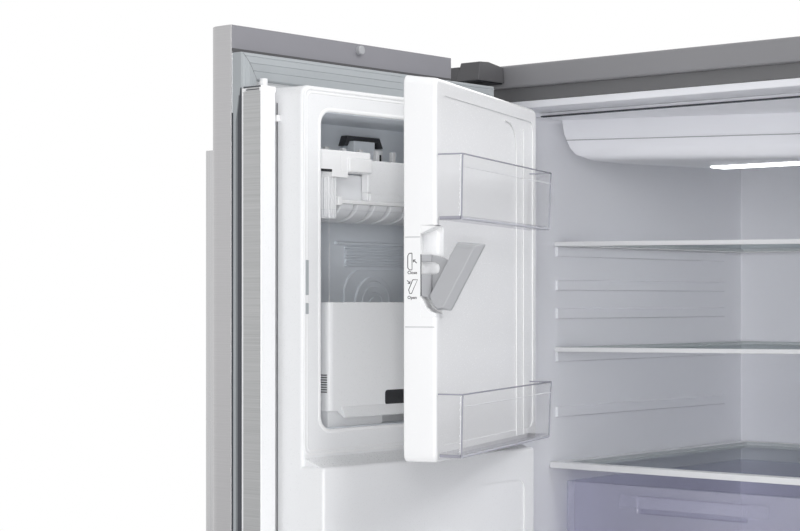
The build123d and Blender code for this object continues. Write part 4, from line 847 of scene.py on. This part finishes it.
shut_leaf = [(87, 1514.6), (84, 1514.6), (82.4, 1512), (82.4, 1500), (84, 1497.8), (87, 1497.8), (87, 1514.6)]
shut_arrow = [[(92, 1504.6), (88.6, 1507.6)], [(88.4, 1505.4), (88.5, 1507.8), (90.8, 1507.9)]]
strokes("shut_sign", [shut_leaf, *shut_arrow], 0.85)
word("shut_word", "Close", 82.2, 92.4, 1493.6)
ajar_leaf = [(87.8, 1487.8), (92.9, 1487.8), (86.4, 1473.8), (84.4, 1473.8), (83.4, 1477.6), (87.8, 1487.8)]
ajar_arrow = [[(81.8, 1487.2), (84.6, 1484.2)], [(82.4, 1484), (84.8, 1484), (84.8, 1486.4)]]
strokes("ajar_sign", [ajar_leaf, *ajar_arrow], 0.8)
word("ajar_word", "Open", 82.2, 92.0, 1468.4)
print("pictograms printed")

# %% [markdown]
# The clear bins hang on the doors: a thick floor and one wall bent round three sides, with a lip that flares
# outwards; the door closes the back. The clear top of the ice bucket is such a wall too. The wall is a stack of
# outlines, out along the outside and back along the inside, so it has a true thickness.

# %% Clear bins
def bent_wall(name, place, s0, s1, v0, v1, courses, wall, turn, material):
    bend = [math.radians(22.5 * i) for i in range(5)]

    def run(a0, a1, b, r):
        near = [(a0 + r - r * math.cos(t), b - r + r * math.sin(t)) for t in bend]
        far = [(a1 - r + r * math.sin(t), b - r + r * math.cos(t)) for t in bend]
        return [(a0, v0), *near, *far, (a1, v0)]

    loops = [[place(a, c, z) for a, c in run(s0 + e, s1 - e, v1 - e, turn)
              + run(s0 + e + wall, s1 - e - wall, v1 - e - wall, turn - wall)[::-1]] for e, z in courses]
    return loft(name, loops, material)


def tub(name, place, s0, s1, v0, v1, z0, z1, flare, body, node):
    courses = ((flare + 1, z0), (flare, z0 + 1.2), (0.6 * flare, z1 - 15), (0.3 * flare, z1 - 7), (0, z1 - 1),
               (0.2, z1))
    wall = bent_wall(name + "_wall", place, s0, s1, v0, v1, courses, 2.2, 4.0, clear_bin)
    dress(wall, body, "clear_plastic", node)
    low, high = (s0 + flare + 1.4, v0, z0 + 0.4), (s1 - flare - 1.4, v1 - flare - 1.4, z0 + 4.4)
    dress(block(name + "_floor", place, low, high, 0.8, clear_bin), body, "clear_plastic")


ice_bins = {"upper": (1548, 1615, 2.6), "lower": (1308, 1373, 2.0)}
for name, (z0, z1, flare) in ice_bins.items():
    tub(name + "_bin", ice, 32, 352, 113.1, 141, z0, z1, flare, "ice_door", f"ice_door_{name}_bin")
for name, z in (("low", 842), ("middle", 1281), ("high", 1537.5)):
    tub("right_bin_" + name, right, 58.2, 368.3, 6, 104, z, z + 100, 3, "right_door", "right_door_bins")
window_courses = ((0, 1465), (0, 1563.5), (0.6, 1564.4))
window = bent_wall("bucket_window", left, 78, 360.5, -13.8, 70, window_courses, 2.4, 7.0, clear_window)
dress(window, "left_door", "clear_plastic", "ice_bucket_window")
print("bins moulded:", len(ice_bins), "on the ice door")

# %% [markdown]
# The rim, the corners and the foot of such a moulding gather light and read as thin dark or bright lines, so each
# of them is drawn as a fine round run of its own: the grey runs are painted shade, the white ones painted highlight.
# Two soft folds in the ice door's outer panel are runs as well.

# %% Rims of the bins
# Grey runs are painted shade and white runs painted highlight on the clear plastic.
rim_shade = moulded("rim_shade", (0.34, 0.34, 0.39), 0.2, 0.06)
rim_half_shade = moulded("rim_half_shade", (0.60, 0.60, 0.66), 0.2, 0.05)
rim_highlight = moulded("rim_highlight", (0.93, 0.93, 0.95), 0.2, 0.02)


def wire(name, points, radius, material):
    mesh = drawn(name, [points], radius / 1000, 2)
    smooth(mesh, 50)
    return place_piece(name, mesh, material)


for name, (z0, z1, flare) in ice_bins.items():
    rim = z1 - 0.7
    for part, points, radius, material in (
            ("rim", [(32.6, 114, rim), (32.6, 140.2, rim), (351.4, 140.2, rim), (351.4, 114, rim)], 0.8, rim_shade),
            ("near_corner", [(35, 138.2, z0 + 1), (33.4, 139.6, z1 - 13), (32.6, 140.3, z1 - 1)], 0.9, rim_shade),
            ("far_corner", [(349, 138.2, z0 + 1), (350.6, 139.6, z1 - 13), (351.4, 140.3, z1 - 1)], 0.8, rim_shade),
            ("crease", [(34, 139.4, z1 - 13), (350, 139.4, z1 - 13)], 0.6, rim_highlight),
            ("inner_corner", [(36.4, 136.4, z0 + 5), (35, 137.4, z1 - 3)], 0.5, rim_highlight),
            ("front_foot", [(36, 138.0, z0 + 1.4), (348, 138.0, z0 + 1.4)], 1.3, rim_half_shade),
            ("end_foot", [(35.2, 115, z0 + 2), (35.2, 137, z0 + 2)], 1.7, rim_shade)):
        line = wire(f"{name}_bin_{part}", [ice(*point) for point in points], radius, material)
        dress(line, "ice_door", "clear_plastic")
fold = ((262, 1668.5), (281, 1666.8), (294, 1660.5), (301, 1650), (303, 1636), (303, 1312))
for name, points in (("panel_fold", fold), ("hinge_side_fold", ((331, 1664), (331, 1312)))):
    dress(wire(name, [ice(s, 112.9, z) for s, z in points], 0.7, white_gloss), "ice_door", "liner_white")
print("rims drawn")

# %% [markdown]
# The dispenser faces the kitchen on the other side of the left door. A bright rim frames the recess, a control
# strip above it has a row of touch marks, and inside hang the water tube and the ice chute above the paddle. The
# drip tray has a slotted grid. The touch marks and the slots are rows made by the tree.

# %% Dispenser details
def on_front(name, points, near, far, width, material, slot="charcoal"):
    return dress(slab(name, facing(left), points, near, far, width, material), "left_door", slot)


rim_runs = [(115 - o, 335 + o, 985 - o, 1268 + o, 14 + o, v) for o, v in
            ((-1.5, -36), (-1.5, -40.6), (-0.6, -41.6), (2.2, -41.6), (3, -40.6), (3, -39))]
dress(loft("dispenser_rim", levels(facing(left), rim_runs, 6), bar_steel, True), "left_door", "steel_brushed")
glass_black = painted("glass_black", (0.012, 0.013, 0.016), 0.16)
on_front("control_glass", outline(122, 328, 1284, 1350, 6), -44.6, -43, 0.4, glass_black)
mark_white = moulded("mark_white", (0.75, 0.78, 0.80), 0.5, 0.05)
mark = block("mark", left, (138, -44.9, 1300), (148, -44.4, 1301.6), 0, mark_white)
dress(rows("touch_marks", mark, 6, (0, 32.8, 0)), "left_door", "charcoal")
dot = turned("dot", left(143, -44.4, 1309), aside, upright, -ahead, ((0.1, 0.5), (3.2, 0.5), (3.2, -0.4), (0.1, -0.4)),
             mark_white, 12)
dress(rows("touch_dots", dot, 6, (0, 32.8, 0)), "left_door", "charcoal")
on_front("display_window", outline(186, 264, 1322, 1342, 3), -44.9, -44.3, 0.1, charcoal_plastic)
chute = ((0.1, 0), (22, 0), (19, -34), (16.5, -34), (15.5, -6), (0.1, -6))
spout = ((0.1, 0), (5.5, 0), (5.5, -20), (4, -22), (3, -22), (3, -16), (0.1, -16))
for name, v, profile, material, steps in (("ice_chute", 12, chute, charcoal_plastic, 28),
                                          ("water_spout", -22, spout, bar_steel, 20)):
    outlet = turned(name, left(225, v, 1266), ahead, aside, upright, profile, material, steps)
    dress(outlet, "left_door", "charcoal")
slot_bar = block("slot_bar", left, (140, -30, 1001.4), (144, 42, 1003.2), 0.4, bar_steel)
dress(rows("drip_grid", slot_bar, 18, (0, 10, 0)), "left_door", "charcoal")
print("dispenser dressed")

# %% [markdown]
# The back of a refrigerator is a flat sheet closed with screws, stiffened by long pressed ribs. The copy of the case
# is taken in by most of a millimetre at the back so that the screw heads and ribs stay inside its depth. The
# screws are one pan head repeated along the two long seams and along the machine cover.

# %% Back of the cabinet
back_plane, taken_in = 601, 0.8
sheet = back_plane - taken_in
case = bpy.data.objects["outer_case_soft"]
for vert in case.data.vertices:
    if vert.co.y > (back_plane - 0.5) / 1000:
        vert.co.y -= taken_in / 1000
case.data.update()
pan = ((0.1, 0.75), (3.0, 0.7), (4.4, 0.35), (4.8, 0), (4.8, -2), (0.1, -2))
for name, x, z, count, step, ups, up in (("back_screws", -440, 340, 2, (880, 0, 0), 12, (0, 0, 122)),
                                         ("top_screws", -330, 1740, 7, (110, 0, 0), 1, (0, 0, 0))):
    screw = turned("screw", cabinet(x, sheet, z), ahead, upright, aside, pan, zinc_sheet, 12)
    dress(rows(name, screw, count, step, ups, up), "cabinet", "galvanised")
ridge = ((0, -1), (0, 0.1), (3, 0.8), (9, 0.8), (12, 0.1), (12, -1))
for name, x in (("left_back_rib", -240), ("right_back_rib", 240)):
    runs = [(x - 60 + i, x + 60 - i, 420 + i, 1660 - i, 40, sheet - 0.1 + h) for i, h in ridge]
    dress(loft(name, levels(facing(cabinet), runs, 6), case_paint, True), "cabinet", "case_paint")
cover_pan = ((0.1, 1.2), (2.6, 1.1), (4.2, 0.6), (4.4, 0), (4.4, -2), (0.1, -2))
screw = turned("cover_screw", cabinet(-430, 599.7, 290), ahead, upright, aside, cover_pan, zinc_sheet, 12)
dress(rows("cover_screws", screw, 6, (172, 0, 0), 2, (0, 0, -236)), "cabinet", "galvanised")
print("back dressed")

# %% [markdown]
# Inside the cabinet a shallow panel with an air slot lies under the ceiling, a dark strip in the slot painted shade,
# and below it hangs the lamp's hood, with a belly that bulges downwards. The lens in its underside is a milky strip,
# lit, with a row of light points.
# The drawers get a moulded grip along the top of the front.

# %% Cabinet interior details
# The dark strip in the air slot is painted shade.
for name, low, high, width, material in (
        ("ceiling_panel", (-404, -58, 1701), (404, 205, 1705.8), 0.8, fridge_lining),
        ("ceiling_slot", (-390, -62, 1700), (390, -55, 1701.8), 0.6, gap_shade)):
    dress(block(name, cabinet, low, high, width, material), "cabinet", "liner_white")


def hood_outline(end, front, inset):
    return ((-end, front), (-60, 127 + inset), (60, 127 + inset), (end, front), (end - 40, 205 - inset),
            (40 - end, 205 - inset))


hood_levels = ((397, -6, 0, 1702), (393, -6, 0, 1682), (385, -4, 1, 1664), (378, -1, 3, 1655.5), (362, 12, 8, 1648),
               (330, 34, 16, 1643.5))
hood = [[cabinet(x, y, z) for x, y in hood_outline(end, front, inset)] for end, front, inset, z in hood_levels]
dress(loft("lamp_hood", hood, fridge_lining, False, 40), "cabinet", "liner_white", "ceiling_lamp_cover")
seam_line = [cabinet(x, y, 1674.5) for x, y in ((-390, -6), (-60, 126.4), (60, 126.4), (390, -6))]
dress(wire("hood_seam", seam_line, 0.5, latch_plastic), "cabinet", "liner_white")
lamp_glow = 5.0
lens = moulded("lamp_lens", (0.95, 0.95, 0.97), 0.25, 0.02)
glow = lens.node_tree.nodes["Principled BSDF"]
glow.inputs["Emission Color"].default_value = (0.94, 0.96, 1.0, 1.0)
glow.inputs["Emission Strength"].default_value = lamp_glow
dress(block("lamp_lens_strip", cabinet, (-270, 152, 1641.6), (270, 186, 1644), 0.8, lens), "cabinet", "liner_white")
led = turned("led", cabinet(-256, 169, 1642), ahead, aside, -upright,
             ((0.1, 0.9), (4, 0.8), (5, 0.2), (5, -0.4), (0.1, -0.4)), mark_white, 12)
dress(rows("lamp_points", led, 17, (32, 0, 0)), "cabinet", "liner_white")
for body, x0, x1, z in (("left_crisper", -300, -88, 1222), ("right_crisper", 88, 300, 1222),
                        ("pantry_drawer", -180, 180, 1012)):
    grip_lip = block(body + "_grip", cabinet, (x0, -19.0, z - 16), (x1, -14, z), 1.6, crisper_clear)
    dress(grip_lip, body, "drawer_clear")
print("interior dressed")

# %% [markdown]
# The studio starts with a pale plain floor. A little emission that only the camera sees lifts it towards white
# without lighting the object, and the shadow stays.

# %% Studio floor
floor_lift = 0.40
scene.view_settings.view_transform = "Standard"
floor_mesh = bpy.data.meshes.new("studio_floor")
floor_mesh.from_pydata([(-6, -6, 0), (6, -6, 0), (6, 6, 0), (-6, 6, 0)], [], [(0, 1, 2, 3)])
floor_paint = moulded("floor_paint", (0.92, 0.92, 0.92), 0.6, 0.01)
place_piece("studio_floor", floor_mesh, floor_paint)
floor_tree = floor_paint.node_tree
floor_shader = floor_tree.nodes["Principled BSDF"]
floor_shader.inputs["Emission Color"].default_value = (1.0, 1.0, 1.0, 1.0)
floor_path = add_node(floor_tree, "LightPath")
floor_glow = add_node(floor_tree, "MapRange", To_Max=floor_lift)
join(floor_path, "Is Camera Ray", floor_glow, "Value")
join(floor_glow, "Result", floor_shader, "Emission Strength")
print("floor laid")

# %% [markdown]
# An even world is the fill light. The camera, mirrors and glass see it plain white instead; that white shows in
# reflections but adds nothing to the diffuse light on the object.

# %% Studio world
fill_level = 0.53
studio = bpy.data.worlds.new("studio")
studio.use_nodes = True
scene.world = studio
tree = studio.node_tree
fill = tree.nodes["Background"]
fill.inputs["Color"].default_value = (0.97, 0.98, 1.0, 1.0)
fill.inputs["Strength"].default_value = fill_level
seen = add_node(tree, "Background", Color=(1.0, 1.0, 1.0, 1.0), Strength=1.0)
path = add_node(tree, "LightPath")
first, second = add_node(tree, "Math"), add_node(tree, "Math")
for step in (first, second):
    step.operation = "MAXIMUM"
join(path, "Is Camera Ray", first, 0)
join(path, "Is Glossy Ray", first, 1)
join(first, "Value", second, 0)
join(path, "Is Transmission Ray", second, 1)
either = blend(tree, second.outputs["Value"], fill.outputs["Background"], seen.outputs["Background"])
join(either, "Shader", tree.nodes["World Output"], "Surface")
print("world set")

# %% [markdown]
# Three soft boxes light the object: a tall one in front on the camera's side, whose light reaches into the ice
# compartment past the ice door, a large one high on the right that comes over the right door to the inside of the
# left one, and a weak one behind.

# %% Studio lamps
def soft_box(name, place, target, size, tall, power):
    lamp = bpy.data.lights.new(name, "AREA")
    lamp.shape = "RECTANGLE"
    lamp.size = size
    lamp.size_y = tall
    lamp.energy = power
    box = bpy.data.objects.new(name, lamp)
    box.location = place
    box.rotation_euler = (Vector(target) - Vector(place)).to_track_quat("-Z", "Y").to_euler()
    scene.collection.objects.link(box)


soft_box("front_box", (1.533, -2.605, 1.4), (-0.35, -0.4, 1.4), 0.5, 2.0, 30)
soft_box("high_box", (3.5, 0.0, 5.2), (-0.3, -0.3, 1.3), 3.0, 3.0, 145)
soft_box("back_box", (-2.6, 3.8, 2.8), (0.0, 0.2, 1.0), 2.4, 2.4, 26)
print("studio lit")

# %% [markdown]
# The camera stands level, not quite one and a half metres up, and looks at the open left door from the right. The
# lens shift frames the picture without tilting the camera, so uprights stay upright.

# %% Camera
optics = bpy.data.cameras.new("camera")
optics.lens = 85
optics.sensor_width = 36
optics.shift_y = 0.043
camera = bpy.data.objects.new("camera", optics)
camera.location = (1.04396, -2.00435, 1.4674)
camera.rotation_euler = (math.radians(90), 0, math.radians(40.69))
scene.collection.objects.link(camera)
scene.camera = camera
print("camera at", [round(c, 2) for c in camera.location])
